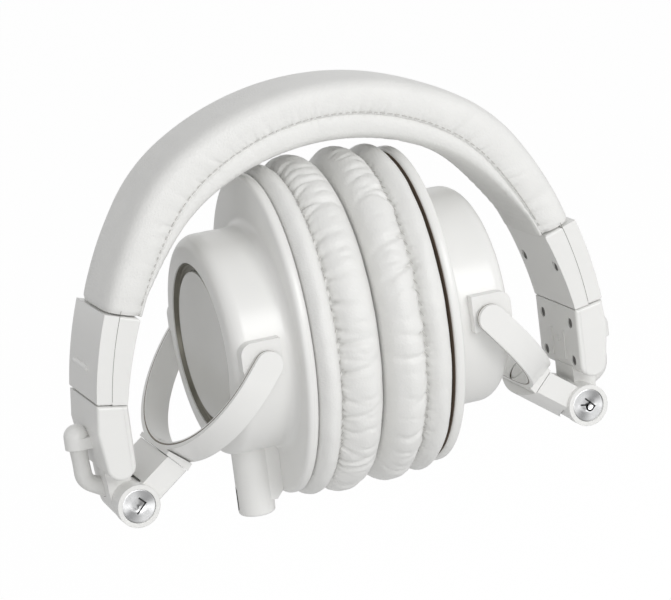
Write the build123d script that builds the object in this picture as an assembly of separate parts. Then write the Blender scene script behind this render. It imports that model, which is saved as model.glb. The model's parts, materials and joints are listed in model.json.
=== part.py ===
"""Folding over-ear headphones, modelled folded, as an assembly of separate pieces.

Frame: X runs from the left unit (-X) to the right unit (+X), +Y points to the back and +Z is up.
X = 0 and Y = 0 are the planes of symmetry.  Inside this file heights are measured from the centre
of the ear cups; STAND lifts everything so that the lowest point lies on Z = 0.
Every piece of a side is drawn for the right unit and mirrored for the left one.
"""
from build123d import *
import os
from dataclasses import dataclass
from math import cos, hypot, radians, sin

# ---------------------------------------------------------------- driving dimensions, mm
STAND = 54.0             # height of the cup centres over the surface the folded set stands on
RUN = 0.05               # radial clearance of a pin that turns in its bore
GAP = 0.3                # clearance between faces of pieces that move past each other

# headband
BAND_WIDTH = 30.0
BAND_ROUND = 2.2         # rounding of the sleeve's long edges
SPRING_WIDTH = 16.0
SPRING_THICK = 0.9
SPRING_INSET = 7.0       # depth of the spring's outer face under the outer surface
SPRING_END = 73.0        # heading, degrees, at which the spring ends inside the end cap
CUSHION_WIDTH = 27.0
CUSHION_ROUND = 2.0

# end caps
CAP_TOP_OUTER = (75.0, 18.8)
CAP_TOP_INNER = (64.6, 15.5)
CAP_BOTTOM_OUTER = (81.1, -7.3)
CAP_BOTTOM_INNER = (71.9, -8.9)
CAP_SPLIT = 4.7          # depth of the joint line between the two shells
CAP_ROUND = 0.8
CAP_SCREW_Y = 11.5
CAP_SCREW_Z = 5.0
SCREW_HEAD_R = 1.5
SCREW_HEAD_H = 0.9
SCREW_R = 0.8
SCREW_LENGTH = 5.0
SCREW_SINK = 0.4         # depth of a screw head under the surface
HEAD_PLAY = 0.1          # clearance around a screw head
RIDGE_R = 0.9            # the raised finger ridge on the outer shell
RIDGE_Y = (-5.0, 9.0)
RIDGE_HEADING = 78.7

# slider
SLIDE_TRAVEL = 24.0
SLIDE_STEP = 3.0         # pitch of the click notches
RAIL_WIDTH = 10.0
RAIL_THICK = 1.6
RAIL_UP = 40.0           # rail length above the joint between end cap and block
RAIL_DOWN = 12.0         # rail length held inside the block
RAIL_PLAY = 0.3
NOTCH_R = 0.5
NOTCH_FIRST = 12.0       # from the joint up to the first notch
LEAF_WIDTH = 5.0         # the detent leaf beside the rail
LEAF_THICK = 0.4
LEAF_LENGTH = 12.0
LEAF_UP = 18.0           # from the joint up to the leaf's top end
LEAF_PLAY = 0.15
BLOCK_BOTTOM = -31.0
BLOCK_INNER_X = 71.8
BLOCK_OUTER_X = 82.1
BLOCK_WAIST = -16.0
BLOCK_CORNER = 4.4
BLOCK_ROUND = 1.0
COVER_THICK = 1.6
BLOCK_SCREW_Y = 10.0
BLOCK_SCREW_Z = (-14.0, -26.0)
RIB_Y = 4.5              # the two ribs on the inner cover
RIB_Z = (-26.5, -17.5)
RIB_WIDTH = 0.8
STUD_R = 0.9
STUD_Z = -20.5
TONGUE_Y = (-7.5, 5.5)   # the tongue from the block to the hinge knuckle
TONGUE_TOP = -22.0
TONGUE_OUTER = 80.4

# cable sleeve that runs outside the block into the hinge
SLEEVE_R = 2.7
BUMP_R = 3.7
BUMP_X = 85.0
BUMP_TOP = -19.0
BUMP_BOTTOM = -22.5
SLEEVE_TURN = (84.4, -33.0)
SLEEVE_END = (77.6, -36.6)
SLEEVE_BEND = 4.5

# fold hinge
HINGE_X = 72.9
HINGE_Z = -39.64
BARREL_R = 6.5
FRONT_EAR = (-15.0, -11.0)
BACK_EAR = (7.6, 14.2)
BACK_EAR_R = (5.6, 4.6)  # the back ear tapers
KNUCKLE = (-10.7, 7.3)
KNUCKLE_R = (6.3, 5.8)
KNUCKLE_ROOM = 0.6       # clearance of the neck around the knuckle
PIN_R = 1.6
PIN_HEAD_R = 2.8
PIN_HEAD_H = 0.8
DISC_R = 5.1
DISC_H = 0.9
DISC_SINK = 0.25
BACK_SINK = 0.2         # depth of the pin's head in the back ear

# neck
NECK_END = (59.3, -29.6)
NECK_THICK = 7.2
NECK_WIDTH = 27.2
NECK_BELLY = 3.4
BACK_WEB = (9.0, 3.2)    # length and half thickness of the web behind the back ear
JOINT_GAP = 0.2          # flat running gap between neck and yoke

# yoke
PIVOT_X = 35.0
PIVOT_Z = 0.0
YOKE_WIDTH = 8.4
YOKE_LINER = 0.5
YOKE_CORE = 0.5
YOKE_SHELL = 1.4
YOKE_SIDE = 36.4         # inner half width between the arms
YOKE_REACH = 35.4        # from the pivot axis to the inside of the yoke's base
YOKE_STRAIGHT = 6.0      # straight part of each arm beside the pivot
PIVOT_PIN_R = 1.8
PIVOT_PIN_IN = 1.7       # how deep the pin sits in the arm
PIVOT_PIN_OUT = 3.4      # how far it reaches into the boss
SWIVEL_PIN_R = 1.9
SWIVEL_HEAD_R = 3.2
SWIVEL_HEAD_H = 0.9
SWIVEL_RECESS_R = 3.9
SWIVEL_DEPTH = 8.0
SWIVEL_SINK = 0.7        # depth of the recess that the screw head sits in
HEAD_GAP = 0.1           # flat running gap under the screw's head

# ear cup housing
FLANGE_FRONT = 21.5
FLANGE_THICK = 3.5
FLANGE_Y = 40.25         # half axes of the oval flange
FLANGE_Z = 49.0
FLANGE_ROUND = 1.4
DRUM_R = 33.5
DRUM_FACE = 43.5
DRUM_ROUND = 4.4
DRUM_FOOT = 2.6          # fillet between drum and flange
DRUM_WALL = 2.4
FACE_WALL = 1.6
RECESS_R = 25.4
RECESS_DEPTH = 2.6
RING_WIDTH = 2.6
RING_THICK = 0.8
PLATE_R = 22.6
PLATE_THICK = 1.6
BOSS_X = (30.0, 42.3)
BOSS_Z = (-4.0, 7.0)
BOSS_FACE = 36.0
BOSS_ROUND = 3.6
PIN_END_GAP = 0.2        # between a pivot pin's end and its hole

# parts inside the cup
BAFFLE_Y = 35.6
BAFFLE_Z = 44.0
BAFFLE_THICK = 1.9
DRIVER_R = 22.5
DRIVER_SEAT = 0.6        # depth of the driver's seat in the baffle
DRIVER_FLANGE = 2.5
MAGNET_SEAT = 3.0        # from the driver's front to the magnet
DRIVER_RIM = 1.8
DRIVER_DEPTH = 9.0
MAGNET_R = 11.0
MAGNET_THICK = 7.0
DOME_R = 19.5
DOME_FRONT = 0.8
DOME_BACK = 1.6
FELT_R = 27.0
FELT_THICK = 1.4
CUP_SCREW_Y = 25.0
CUP_SCREW_Z = 30.0
CUP_SCREW_HEAD = 0.8
CUP_SCREW_LENGTH = 3.0

# ear pad
PAD_FRONT = 0.15
PAD_SEAM = 14.0
PAD_BACK = 21.3
PAD_Y = 43.5
PAD_Z = 51.5
LIP_Y = 41.3
LIP_Z = 49.6
EAR_Y = 23.0
EAR_Z = 31.0
PAD_ROUND = 6.0
LIP_ROUND = 2.0
SCREEN_THICK = 0.6
SCREEN_X = 19.5

# cable socket, on the left cup
SOCKET_X = 32.8
SOCKET_R = 5.6
SOCKET_LINER_R = 4.0
JACK_R = 1.3
JACK_LENGTH = 12.0       # length of the bore for the plug, beyond the lock recess
LOCK_R = 2.9
LOCK_DEPTH = 4.0
LINER_SINK = 0.6         # depth of the liner in the barrel
LINER_WALL = 0.4         # liner beyond the end of the bore
SOCKET_EDGE = 0.8
WEB_HALF = 4.4           # half thickness of the web between barrel and flange
WEB_FOOT = -46.0
WEB_RISE = 4.0           # from the barrel's mouth up to the web


# ---------------------------------------------------------------- outlines of the headband
@dataclass(frozen=True)
class Arch:
    """A symmetric arch of three tangent arcs a side; headings are degrees below level."""

    top: float
    radii: tuple
    turns: tuple

    def centre(self, arc):
        """Centre (x, z) of an arc, 0 at the crown."""
        x, z = 0.0, self.top - self.radii[0]
        for i in range(arc):
            step = self.radii[i] - self.radii[i + 1]
            x += step * sin(radians(self.turns[i]))
            z += step * cos(radians(self.turns[i]))
        return x, z

    def point(self, heading, inset=0.0):
        """Point (x, z) on the arch where it heads that far down, moved inward by inset."""
        arc = sum(abs(heading) > turn for turn in self.turns)
        x, z = self.centre(arc)
        r = self.radii[arc] - inset
        side = 1 if heading >= 0 else -1
        return side * (x + r * sin(radians(abs(heading)))), z + r * cos(radians(heading))

    def line(self, end, inset=0.0):
        """The arch from heading -end to +end as tangent arcs."""
        stops = [-end, *(-t for t in reversed(self.turns)), *self.turns, end]
        arcs = [
            ThreePointArc(self.point(a, inset), self.point((a + b) / 2, inset), self.point(b, inset))
            for a, b in zip(stops, stops[1:])
        ]
        return Curve() + arcs


OUTER = Arch(74.3, (87.0, 52.5, 123.0), (30.7, 56.1))
INNER = Arch(63.6, (69.4, 48.0, 128.0), (33.0, 54.6))
LINING = Arch(55.3, (75.0, 52.0, 200.0), (27.0, 50.0))
ARCH_END = 86.0          # heading at which the band outlines are closed, below the end caps


# ---------------------------------------------------------------- helpers
def front(sketch, y0, y1):
    """Extrude a sketch drawn in X and Z from y0 to y1."""
    return extrude(Plane((0, y1, 0), x_dir=(1, 0, 0), z_dir=(0, -1, 0)) * sketch, y1 - y0)


def oval(half_y, half_z, x0, x1):
    """An oval plate across X."""
    return extrude(Plane.YZ.offset(x0) * Ellipse(half_y, half_z), x1 - x0)


def disc(r, x0, x1, y=0.0, z=0.0):
    """A round plate across X."""
    return extrude(Plane((x0, y, z), x_dir=(0, 1, 0), z_dir=(1, 0, 0)) * Circle(r), x1 - x0)


def rod(r, start, end, end_r=None):
    """A round bar, or a cone, between two points."""
    a, b = Vector(*start), Vector(*end)
    plane = Plane(a, z_dir=(b - a))
    if end_r is None:
        return extrude(plane * Circle(r), (b - a).length)
    return loft([plane * Circle(r), Plane(b, z_dir=(b - a)) * Circle(end_r)])


def cross(r, x, z, y0, y1, end_r=None):
    """A round bar across the band, along Y."""
    return rod(r, (x, y0, z), (x, y1, z), end_r)


def between(outer, inner, end):
    """The region between two arches, in X and Z."""
    ends = [Line(outer.point(s * end), inner.point(s * end)) for s in (-1, 1)]
    return make_face(outer.line(end) + inner.line(end) + ends)


def inset_region(arch, near, far, end):
    """The region of an arch from one inset to another, in X and Z."""
    ends = [Line(arch.point(s * end, near), arch.point(s * end, far)) for s in (-1, 1)]
    return make_face(arch.line(end, near) + arch.line(end, far) + ends)


def below(inner, outer, depth=200.0):
    """Half plane below the line from inner to outer, as a sketch in X and Z on the right side."""
    dx, dz = outer[0] - inner[0], outer[1] - inner[1]
    length = hypot(dx, dz)
    ux, uz = dx / length, dz / length
    a = (inner[0] - 60 * ux, inner[1] - 60 * uz)
    b = (outer[0] + 60 * ux, outer[1] + 60 * uz)
    return make_face(Polyline(a, b, (b[0] + depth * uz, b[1] - depth * ux),
                              (a[0] + depth * uz, a[1] - depth * ux), close=True))


def mirrored(part):
    """The left unit's copy of a right unit's piece."""
    return mirror(part, about=Plane.YZ)


def unit(a, b):
    """Unit vector (x, z) from a to b."""
    dx, dz = b[0] - a[0], b[1] - a[1]
    length = hypot(dx, dz)
    return dx / length, dz / length


# ---------------------------------------------------------------- derived places
SLIDE_DIR = unit(((CAP_TOP_OUTER[0] + CAP_TOP_INNER[0]) / 2, (CAP_TOP_OUTER[1] + CAP_TOP_INNER[1]) / 2),
                 ((CAP_BOTTOM_OUTER[0] + CAP_BOTTOM_INNER[0]) / 2,
                  (CAP_BOTTOM_OUTER[1] + CAP_BOTTOM_INNER[1]) / 2))
RAIL_AT = ((CAP_BOTTOM_OUTER[0] + CAP_BOTTOM_INNER[0]) / 2, (CAP_BOTTOM_OUTER[1] + CAP_BOTTOM_INNER[1]) / 2)
YOKE_DIR = unit((PIVOT_X, PIVOT_Z), NECK_END)
NECK_DIR = unit(NECK_END, (HINGE_X, HINGE_Z))
SWIVEL_DIR = unit((0, 0), (YOKE_DIR[0] + NECK_DIR[0], YOKE_DIR[1] + NECK_DIR[1]))
YOKE_THICK = YOKE_LINER + YOKE_CORE + YOKE_SHELL


# ---------------------------------------------------------------- headband
def cap_zone():
    """The slanted zone of the band that the right end cap fills, in X and Z."""
    return below(CAP_TOP_INNER, CAP_TOP_OUTER) - below(CAP_BOTTOM_INNER, CAP_BOTTOM_OUTER)


def both_sides(sketch):
    """A sketch and its mirror image on the left."""
    return sketch + mirror(sketch, about=Plane.YZ)


def rail_box(up, down, width, thick, shift=0.0):
    """A flat bar along the slide direction, around the joint between end cap and block."""
    plane = Plane((RAIL_AT[0], 0, RAIL_AT[1]), x_dir=(0, 1, 0), z_dir=(SLIDE_DIR[0], 0, SLIDE_DIR[1]))
    bar = extrude(plane.offset(-up) * Rectangle(width, thick), up + down)
    return bar.moved(Location((SLIDE_DIR[0] * shift, 0, SLIDE_DIR[1] * shift)))


def spring_band():
    """The spring steel strip that runs through the sleeve into both end caps."""
    region = inset_region(OUTER, SPRING_INSET, SPRING_INSET + SPRING_THICK, SPRING_END)
    return front(region, -SPRING_WIDTH / 2, SPRING_WIDTH / 2)


def headband_sleeve():
    """The padded sleeve over the spring, with pockets that the slider rails run up into."""
    region = between(OUTER, INNER, ARCH_END) - both_sides(below(CAP_TOP_INNER, CAP_TOP_OUTER))
    body = front(region, -BAND_WIDTH / 2, BAND_WIDTH / 2)
    long_edges = (body.edges().filter_by(GeomType.CIRCLE).sort_by(SortBy.RADIUS))
    body = fillet(long_edges, BAND_ROUND)
    pocket = rail_box(RAIL_UP + RAIL_PLAY, 0, RAIL_WIDTH + 2 * RAIL_PLAY, RAIL_THICK + 2 * RAIL_PLAY)
    return body - spring_band() - pocket - mirrored(pocket)


def head_cushion():
    """The soft cushion under the sleeve, thick at the crown and thin at the ends."""
    inside = between(OUTER, LINING, 60.0) - between(OUTER, INNER, ARCH_END)
    region = inside - both_sides(below(CAP_TOP_INNER, CAP_TOP_OUTER))
    body = front(region, -CUSHION_WIDTH / 2, CUSHION_WIDTH / 2)
    low = body.edges().filter_by(GeomType.CIRCLE).filter_by(
        lambda e: e.center().Z < 58.0 and abs(e.radius - LINING.radii[0]) < 0.1)
    return fillet(low, CUSHION_ROUND)


def cap_screw(tool=0.0):
    """The two screws of an end cap, or with tool the holes they need."""
    x = INNER.point(72.4)[0]
    group = []
    for side in (-1, 1):
        y = side * CAP_SCREW_Y
        head = disc(SCREW_HEAD_R + tool, x + SCREW_SINK - (2 if tool else 0), x + SCREW_SINK + SCREW_HEAD_H,
                    y, CAP_SCREW_Z)
        shank = disc(SCREW_R, x + SCREW_SINK, x + SCREW_SINK + SCREW_LENGTH, y, CAP_SCREW_Z)
        group.append(head + shank)
    return group


def rail_slot():
    """The channel for the rail through an end cap."""
    return rail_box(60, 10, RAIL_WIDTH + 2 * RAIL_PLAY, RAIL_THICK + 2 * RAIL_PLAY)


def detent_spring(play=0.0):
    """The leaf that clicks into the rail's notches, or with play the pocket that it lies in."""
    plane = Plane((RAIL_AT[0], 0, RAIL_AT[1]), x_dir=(0, 1, 0), z_dir=(SLIDE_DIR[0], 0, SLIDE_DIR[1]))
    middle = RAIL_THICK / 2 + RAIL_PLAY + LEAF_THICK / 2 + RAIL_PLAY
    outline = Pos(0, middle) * Rectangle(LEAF_WIDTH + 2 * play, LEAF_THICK + 2 * play)
    return extrude(plane.offset(-LEAF_UP) * outline, LEAF_LENGTH)


def end_cap_region():
    """The outline of an end cap in X and Z."""
    return between(OUTER, INNER, ARCH_END) & cap_zone()


def end_cap_outer():
    """The outer shell of an end cap, with a raised ridge for the finger."""
    outer_half = inset_region(OUTER, -1.0, CAP_SPLIT, ARCH_END) & end_cap_region()
    body = front(outer_half, -BAND_WIDTH / 2, BAND_WIDTH / 2)
    body = fillet(body.faces().sort_by(Axis.X)[-1].edges(), CAP_ROUND)
    ridge_at = OUTER.point(RIDGE_HEADING)
    body = body + cross(RIDGE_R, *ridge_at, *RIDGE_Y)
    for hole in cap_screw():
        body = body - hole
    return body - rail_slot() - detent_spring(LEAF_PLAY)


def end_cap_inner():
    """The inner shell of an end cap, which clamps the spring's end."""
    inner_half = end_cap_region() - inset_region(OUTER, -1.0, CAP_SPLIT, ARCH_END)
    body = front(inner_half, -BAND_WIDTH / 2, BAND_WIDTH / 2)
    body = fillet(body.faces().sort_by(Axis.X)[0].edges(), CAP_ROUND)
    for hole in cap_screw(HEAD_PLAY):
        body = body - hole
    return body - rail_slot() - spring_band()


# ---------------------------------------------------------------- slider
def slider_rail():
    """The steel rail, with click notches in its outer face."""
    rail = rail_box(RAIL_UP, RAIL_DOWN, RAIL_WIDTH, RAIL_THICK)
    out = (-SLIDE_DIR[1], SLIDE_DIR[0])
    notch_count = int(SLIDE_TRAVEL / SLIDE_STEP) + 1
    for i in range(notch_count):
        up = NOTCH_FIRST + i * SLIDE_STEP
        x = RAIL_AT[0] - SLIDE_DIR[0] * up + out[0] * RAIL_THICK / 2
        z = RAIL_AT[1] - SLIDE_DIR[1] * up + out[1] * RAIL_THICK / 2
        rail = rail - cross(NOTCH_R, x, z, -RAIL_WIDTH / 2 - 1, RAIL_WIDTH / 2 + 1)
    return rail


def block_region():
    """The outline of the slider block in X and Z."""
    outline = make_face(Polyline(
        (BLOCK_INNER_X, CAP_BOTTOM_INNER[1] - GAP),
        (CAP_BOTTOM_OUTER[0] + 0.1, CAP_BOTTOM_OUTER[1] - GAP),
        (BLOCK_OUTER_X, BLOCK_WAIST),
        (BLOCK_OUTER_X - 1.9, BLOCK_BOTTOM),
        (BLOCK_INNER_X, BLOCK_BOTTOM),
        close=True))
    low = outline.vertices().filter_by(lambda v: v.Y < BLOCK_WAIST - 1)
    return fillet(low, BLOCK_CORNER)


def tongue():
    """The tongue that joins the block to the hinge knuckle."""
    inner = BLOCK_INNER_X + RIB_WIDTH / 2
    outer = HINGE_X + KNUCKLE_R[0] - 0.1
    web = make_face(Polyline((inner, TONGUE_TOP), (TONGUE_OUTER, TONGUE_TOP), (outer, HINGE_Z),
                             (HINGE_X, HINGE_Z), (inner, BLOCK_BOTTOM - 3), close=True))
    return front(web, *TONGUE_Y)


def knuckle():
    """The middle leaf of the fold hinge, tapering to the back."""
    return cross(KNUCKLE_R[0], HINGE_X, HINGE_Z, KNUCKLE[0], KNUCKLE[1], KNUCKLE_R[1])


def sleeve_path():
    """The route of the cable sleeve: down from the bump and round into the knuckle."""
    return FilletPolyline((BUMP_X, 0, BUMP_BOTTOM + 2), (SLEEVE_TURN[0], 0, SLEEVE_TURN[1]),
                          (SLEEVE_END[0], 0, SLEEVE_END[1]), radius=SLEEVE_BEND)


def cable_sleeve():
    """The rubber sleeve that covers the cable between block and hinge."""
    path = sleeve_path()
    return sweep(Plane(path @ 0, z_dir=path % 0) * Circle(SLEEVE_R), path=path)


def cover_zone():
    """The slice of the block that its inner cover fills."""
    return Pos(BLOCK_INNER_X + COVER_THICK / 2 - 1, 0, -18) * Box(COVER_THICK + 2, 60, 60)


def block_body():
    """The whole slider block before it is split into shell and cover."""
    body = front(block_region(), -BAND_WIDTH / 2, BAND_WIDTH / 2)
    body = fillet(body.faces().filter_by(Axis.Y).edges(), BLOCK_ROUND)
    return body


def block_screws(tool=0.0):
    """The four screws of the slider block, or with tool the holes they need."""
    x = BLOCK_INNER_X + SCREW_SINK
    group = []
    for z in BLOCK_SCREW_Z:
        for side in (-1, 1):
            y = side * BLOCK_SCREW_Y
            head = disc(SCREW_HEAD_R + tool, x - (2 if tool else 0), x + SCREW_HEAD_H, y, z)
            group.append(head + disc(SCREW_R, x, x + SCREW_LENGTH, y, z))
    return group


def bump():
    """The hood on the block's outer face that the cable sleeve comes out of."""
    hood = rod(BUMP_R, (BUMP_X, 0, BUMP_TOP), (BUMP_X, 0, BUMP_BOTTOM))
    hood = hood + Pos(BUMP_X, 0, BUMP_TOP) * Sphere(BUMP_R)
    neck_in = Pos(BUMP_X - 3, 0, (BUMP_TOP + BUMP_BOTTOM) / 2) * Box(6, 2 * BUMP_R, BUMP_TOP - BUMP_BOTTOM)
    return hood + neck_in


def slider_block():
    """The outer shell of the slider block with tongue, knuckle and cable hood."""
    body = block_body() + bump() + tongue() + knuckle()
    body = body - cable_sleeve()
    body = body - cross(PIN_R + RUN, HINGE_X, HINGE_Z, -20, 20)
    body = body - rail_box(5, RAIL_DOWN, RAIL_WIDTH, RAIL_THICK)
    body = body - (block_body() & cover_zone())
    for hole in block_screws():
        body = body - hole
    return body


def slider_cover():
    """The inner cover of the slider block, with a rib and a small stud."""
    body = block_body() & cover_zone()
    for side in (-1, 1):
        rib = Box(RIB_WIDTH, RIB_WIDTH, RIB_Z[1] - RIB_Z[0])
        body = body + Pos(BLOCK_INNER_X, side * RIB_Y, sum(RIB_Z) / 2) * rib
    body = body + disc(STUD_R, BLOCK_INNER_X - RIB_WIDTH / 2, BLOCK_INNER_X + COVER_THICK / 2, 0, STUD_Z)
    for hole in block_screws(HEAD_PLAY):
        body = body - hole
    return body


# ---------------------------------------------------------------- hinge and neck
def hinge_pin():
    """The fold hinge's pin, with its head at the back."""
    back = BACK_EAR[1] - BACK_SINK
    shank = cross(PIN_R, HINGE_X, HINGE_Z, FRONT_EAR[0] + DISC_SINK + DISC_H, back)
    head = cross(PIN_HEAD_R, HINGE_X, HINGE_Z, back - PIN_HEAD_H, back)
    return shank + head


def hinge_disc():
    """The metal disc in the front ear."""
    y = FRONT_EAR[0]
    return cross(DISC_R, HINGE_X, HINGE_Z, y + DISC_SINK, y + DISC_SINK + DISC_H)


def neck_section():
    """The neck's cross section: flat above, crowned below, flat sided."""
    half = NECK_WIDTH / 2
    low = -NECK_THICK / 2
    return make_face(Curve() + [
        Line((-half, low), (-half, NECK_THICK / 2)),
        Line((-half, NECK_THICK / 2), (half, NECK_THICK / 2)),
        Line((half, NECK_THICK / 2), (half, low)),
        ThreePointArc((half, low), (0, low - NECK_BELLY), (-half, low)),
    ])


def swivel_plane(shift=0.0):
    """The plane across the swivel axis at the neck's end, moved along it towards the hinge."""
    x = NECK_END[0] + SWIVEL_DIR[0] * shift
    z = NECK_END[1] + SWIVEL_DIR[1] * shift
    return Plane((x, 0, z), x_dir=(0, 1, 0), z_dir=(SWIVEL_DIR[0], 0, SWIVEL_DIR[1]))


def neck():
    """The neck between fold hinge and yoke, with both ears of the hinge."""
    start = Plane((NECK_END[0] - 6 * NECK_DIR[0], 0, NECK_END[1] - 6 * NECK_DIR[1]),
                  x_dir=(0, 1, 0), z_dir=(NECK_DIR[0], 0, NECK_DIR[1]))
    length = hypot(HINGE_X - NECK_END[0], HINGE_Z - NECK_END[1])
    flip = -1 if start.y_dir.Z < 0 else 1
    section = neck_section() if flip > 0 else mirror(neck_section(), about=Plane.XZ)
    body = extrude(start * section, 6 + length)
    body = body - extrude(swivel_plane(JOINT_GAP) * Rectangle(80, 80), -40)
    room = max(KNUCKLE_R) + KNUCKLE_ROOM
    body = body - cross(room, HINGE_X, HINGE_Z, KNUCKLE[0] - GAP, KNUCKLE[1] + GAP)
    body = body - cross(room, HINGE_X, HINGE_Z, BACK_EAR[0] - GAP, 20)
    body = body + cross(BARREL_R, HINGE_X, HINGE_Z, *FRONT_EAR)
    web_length, web_half = BACK_WEB
    across = (-NECK_DIR[1] * web_half, NECK_DIR[0] * web_half)
    corners = []
    for back, side in ((web_length, 1), (0, 1), (0, -1), (web_length, -1)):
        corners.append((HINGE_X - NECK_DIR[0] * back + across[0] * side,
                        HINGE_Z - NECK_DIR[1] * back + across[1] * side))
    back_web = front(make_face(Polyline(*corners, close=True)), BACK_EAR[0], NECK_WIDTH / 2)
    body = body + back_web + cross(BACK_EAR_R[0], HINGE_X, HINGE_Z, BACK_EAR[0], BACK_EAR[1], BACK_EAR_R[1])
    body = body - hinge_pin() - hinge_disc()
    body = body - cross(DISC_R, HINGE_X, HINGE_Z, FRONT_EAR[0] - 1, FRONT_EAR[0] + DISC_SINK)
    body = body - cross(PIN_HEAD_R, HINGE_X, HINGE_Z, BACK_EAR[1] - BACK_SINK, BACK_EAR[1] + 1)
    return body - swivel_screw()


def swivel_screw():
    """The screw that the yoke turns on, fixed in the neck."""
    seat = swivel_seat()
    shank = extrude(swivel_plane(seat) * Circle(SWIVEL_PIN_R), SWIVEL_DEPTH)
    head = extrude(swivel_plane(seat - SWIVEL_HEAD_H) * Circle(SWIVEL_HEAD_R), SWIVEL_HEAD_H)
    top = head.edges().sort_by(Axis((0, 0, 0), (SWIVEL_DIR[0], 0, SWIVEL_DIR[1])))[0]
    head = fillet(top, SWIVEL_HEAD_H * 0.7)
    return shank + head


def swivel_seat():
    """Where the screw head's seat lies along the swivel axis, measured from the neck's end."""
    return YOKE_REACH - hypot(NECK_END[0] - PIVOT_X, NECK_END[1] - PIVOT_Z) + SWIVEL_SINK - HEAD_GAP


# ---------------------------------------------------------------- yoke
def yoke_plane():
    """The yoke's own plane: local X is Y, local Y runs from the pivot to the base."""
    return Plane((PIVOT_X, 0, PIVOT_Z), x_dir=(0, 1, 0), z_dir=(YOKE_DIR[1], 0, -YOKE_DIR[0]))


def bow(depth):
    """The area inside the yoke's bow, grown outward by depth."""
    side = YOKE_SIDE + depth
    reach = YOKE_REACH - YOKE_STRAIGHT + depth
    dome = Pos(0, YOKE_STRAIGHT) * Ellipse(side, reach)
    legs = Pos(0, (YOKE_STRAIGHT - 20) / 2) * Rectangle(2 * side, YOKE_STRAIGHT + 20)
    low = Pos(0, -60 - 20) * Rectangle(200, 120)
    return dome + legs - low


def strap(depth, thick):
    """One layer of the yoke's strap, with round ends about the pivot."""
    plane = yoke_plane()
    layer = bow(depth + thick) - bow(depth)
    flat = extrude(plane * layer, YOKE_WIDTH / 2, both=True)
    reach = YOKE_REACH + YOKE_THICK + 1
    keep = cross(YOKE_WIDTH / 2, PIVOT_X, PIVOT_Z, -60, 60)
    side = Plane((PIVOT_X, 60, PIVOT_Z), x_dir=(YOKE_DIR[0], 0, YOKE_DIR[1]), z_dir=(0, -1, 0))
    keep = keep + extrude(side * Pos(reach / 2, 0) * Rectangle(reach, YOKE_WIDTH), 120)
    return flat & keep


def yoke_base():
    """The block that carries the strap on the neck."""
    reach = hypot(NECK_END[0] - PIVOT_X, NECK_END[1] - PIVOT_Z)
    plane = yoke_plane()
    block = extrude(plane * Pos(0, YOKE_REACH + YOKE_LINER + YOKE_CORE + 3) * Rectangle(NECK_WIDTH, 6),
                    YOKE_WIDTH / 2, both=True)
    block = block - extrude(plane * bow(YOKE_LINER + YOKE_CORE), YOKE_WIDTH, both=True)
    return block - extrude(swivel_plane(0) * Rectangle(80, 80), reach)


def swivel_cut(part):
    """A yoke layer with the hole for the swivel screw and the recess for its head."""
    hole = extrude(swivel_plane(-30) * Circle(SWIVEL_PIN_R + RUN), 60)
    recess = extrude(swivel_plane(swivel_seat() + HEAD_GAP - 20) * Circle(SWIVEL_RECESS_R), 20)
    return part - hole - recess


def yoke():
    """The white layers of the yoke: the thin liner and the shell with its base."""
    shell = strap(YOKE_LINER + YOKE_CORE, YOKE_SHELL) + yoke_base()
    liner = strap(0, YOKE_LINER)
    return [swivel_cut(layer) - Compound(yoke_pins()) for layer in (shell, liner)]


def yoke_core():
    """The steel plate between the yoke's layers."""
    return swivel_cut(strap(YOKE_LINER, YOKE_CORE)) - Compound(yoke_pins())


def yoke_pins():
    """The two pins fixed in the yoke's arms, which the cup turns on."""
    pins = []
    for side in (-1, 1):
        near = side * (BOSS_FACE - PIVOT_PIN_OUT)
        far = side * (YOKE_SIDE + PIVOT_PIN_IN)
        pins.append(cross(PIVOT_PIN_R, PIVOT_X, PIVOT_Z, min(near, far), max(near, far)))
    return pins


# ---------------------------------------------------------------- ear cup
def cup_boss(side):
    """The raised pad on the drum that a yoke arm turns against."""
    x0, x1 = BOSS_X
    z0, z1 = BOSS_Z
    outline = Pos((x0 - 6 + x1) / 2, (z0 + z1) / 2) * Rectangle(x1 - x0 + 6, z1 - z0)
    outline = fillet(outline.vertices().filter_by(lambda v: v.X > x0), BOSS_ROUND)
    inner = DRUM_R - DRUM_WALL - 1.0
    lo, hi = sorted((side * inner, side * BOSS_FACE))
    return front(outline, lo, hi) & (Pos(x0 + 10, 0, 0) * Box(20, 100, 30))


def cup_housing():
    """The ear cup's moulded housing: oval flange, drum, bosses and the recess in its face."""
    flange_back = FLANGE_FRONT + FLANGE_THICK
    flange = oval(FLANGE_Y, FLANGE_Z, FLANGE_FRONT, flange_back)
    flange = fillet(flange.edges(), FLANGE_ROUND)
    drum = disc(DRUM_R, FLANGE_FRONT + 1, DRUM_FACE)
    drum = fillet(drum.edges().sort_by(Axis.X)[-1], DRUM_ROUND)
    body = flange + drum
    foot = body.edges().filter_by(GeomType.CIRCLE).filter_by(
        lambda e: abs(e.center().X - flange_back) < 0.01 and abs(e.radius - DRUM_R) < 0.01)
    body = fillet(foot, DRUM_FOOT)
    body = body + cup_boss(-1) + cup_boss(1)
    body = body - disc(RECESS_R, DRUM_FACE - RECESS_DEPTH, DRUM_FACE + 5)
    chamber = disc(DRUM_R - DRUM_WALL, FLANGE_FRONT - 1, DRUM_FACE - RECESS_DEPTH - FACE_WALL)
    body = body - chamber
    body = body - oval(BAFFLE_Y, BAFFLE_Z, FLANGE_FRONT - 1, FLANGE_FRONT + BAFFLE_THICK)
    for side in (-1, 1):
        lo, hi = sorted((side * (BOSS_FACE - PIVOT_PIN_OUT - PIN_END_GAP), side * (BOSS_FACE + 2)))
        body = body - cross(PIVOT_PIN_R + RUN, PIVOT_X, PIVOT_Z, lo, hi)
    return body - Compound(cup_screws())


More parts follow.
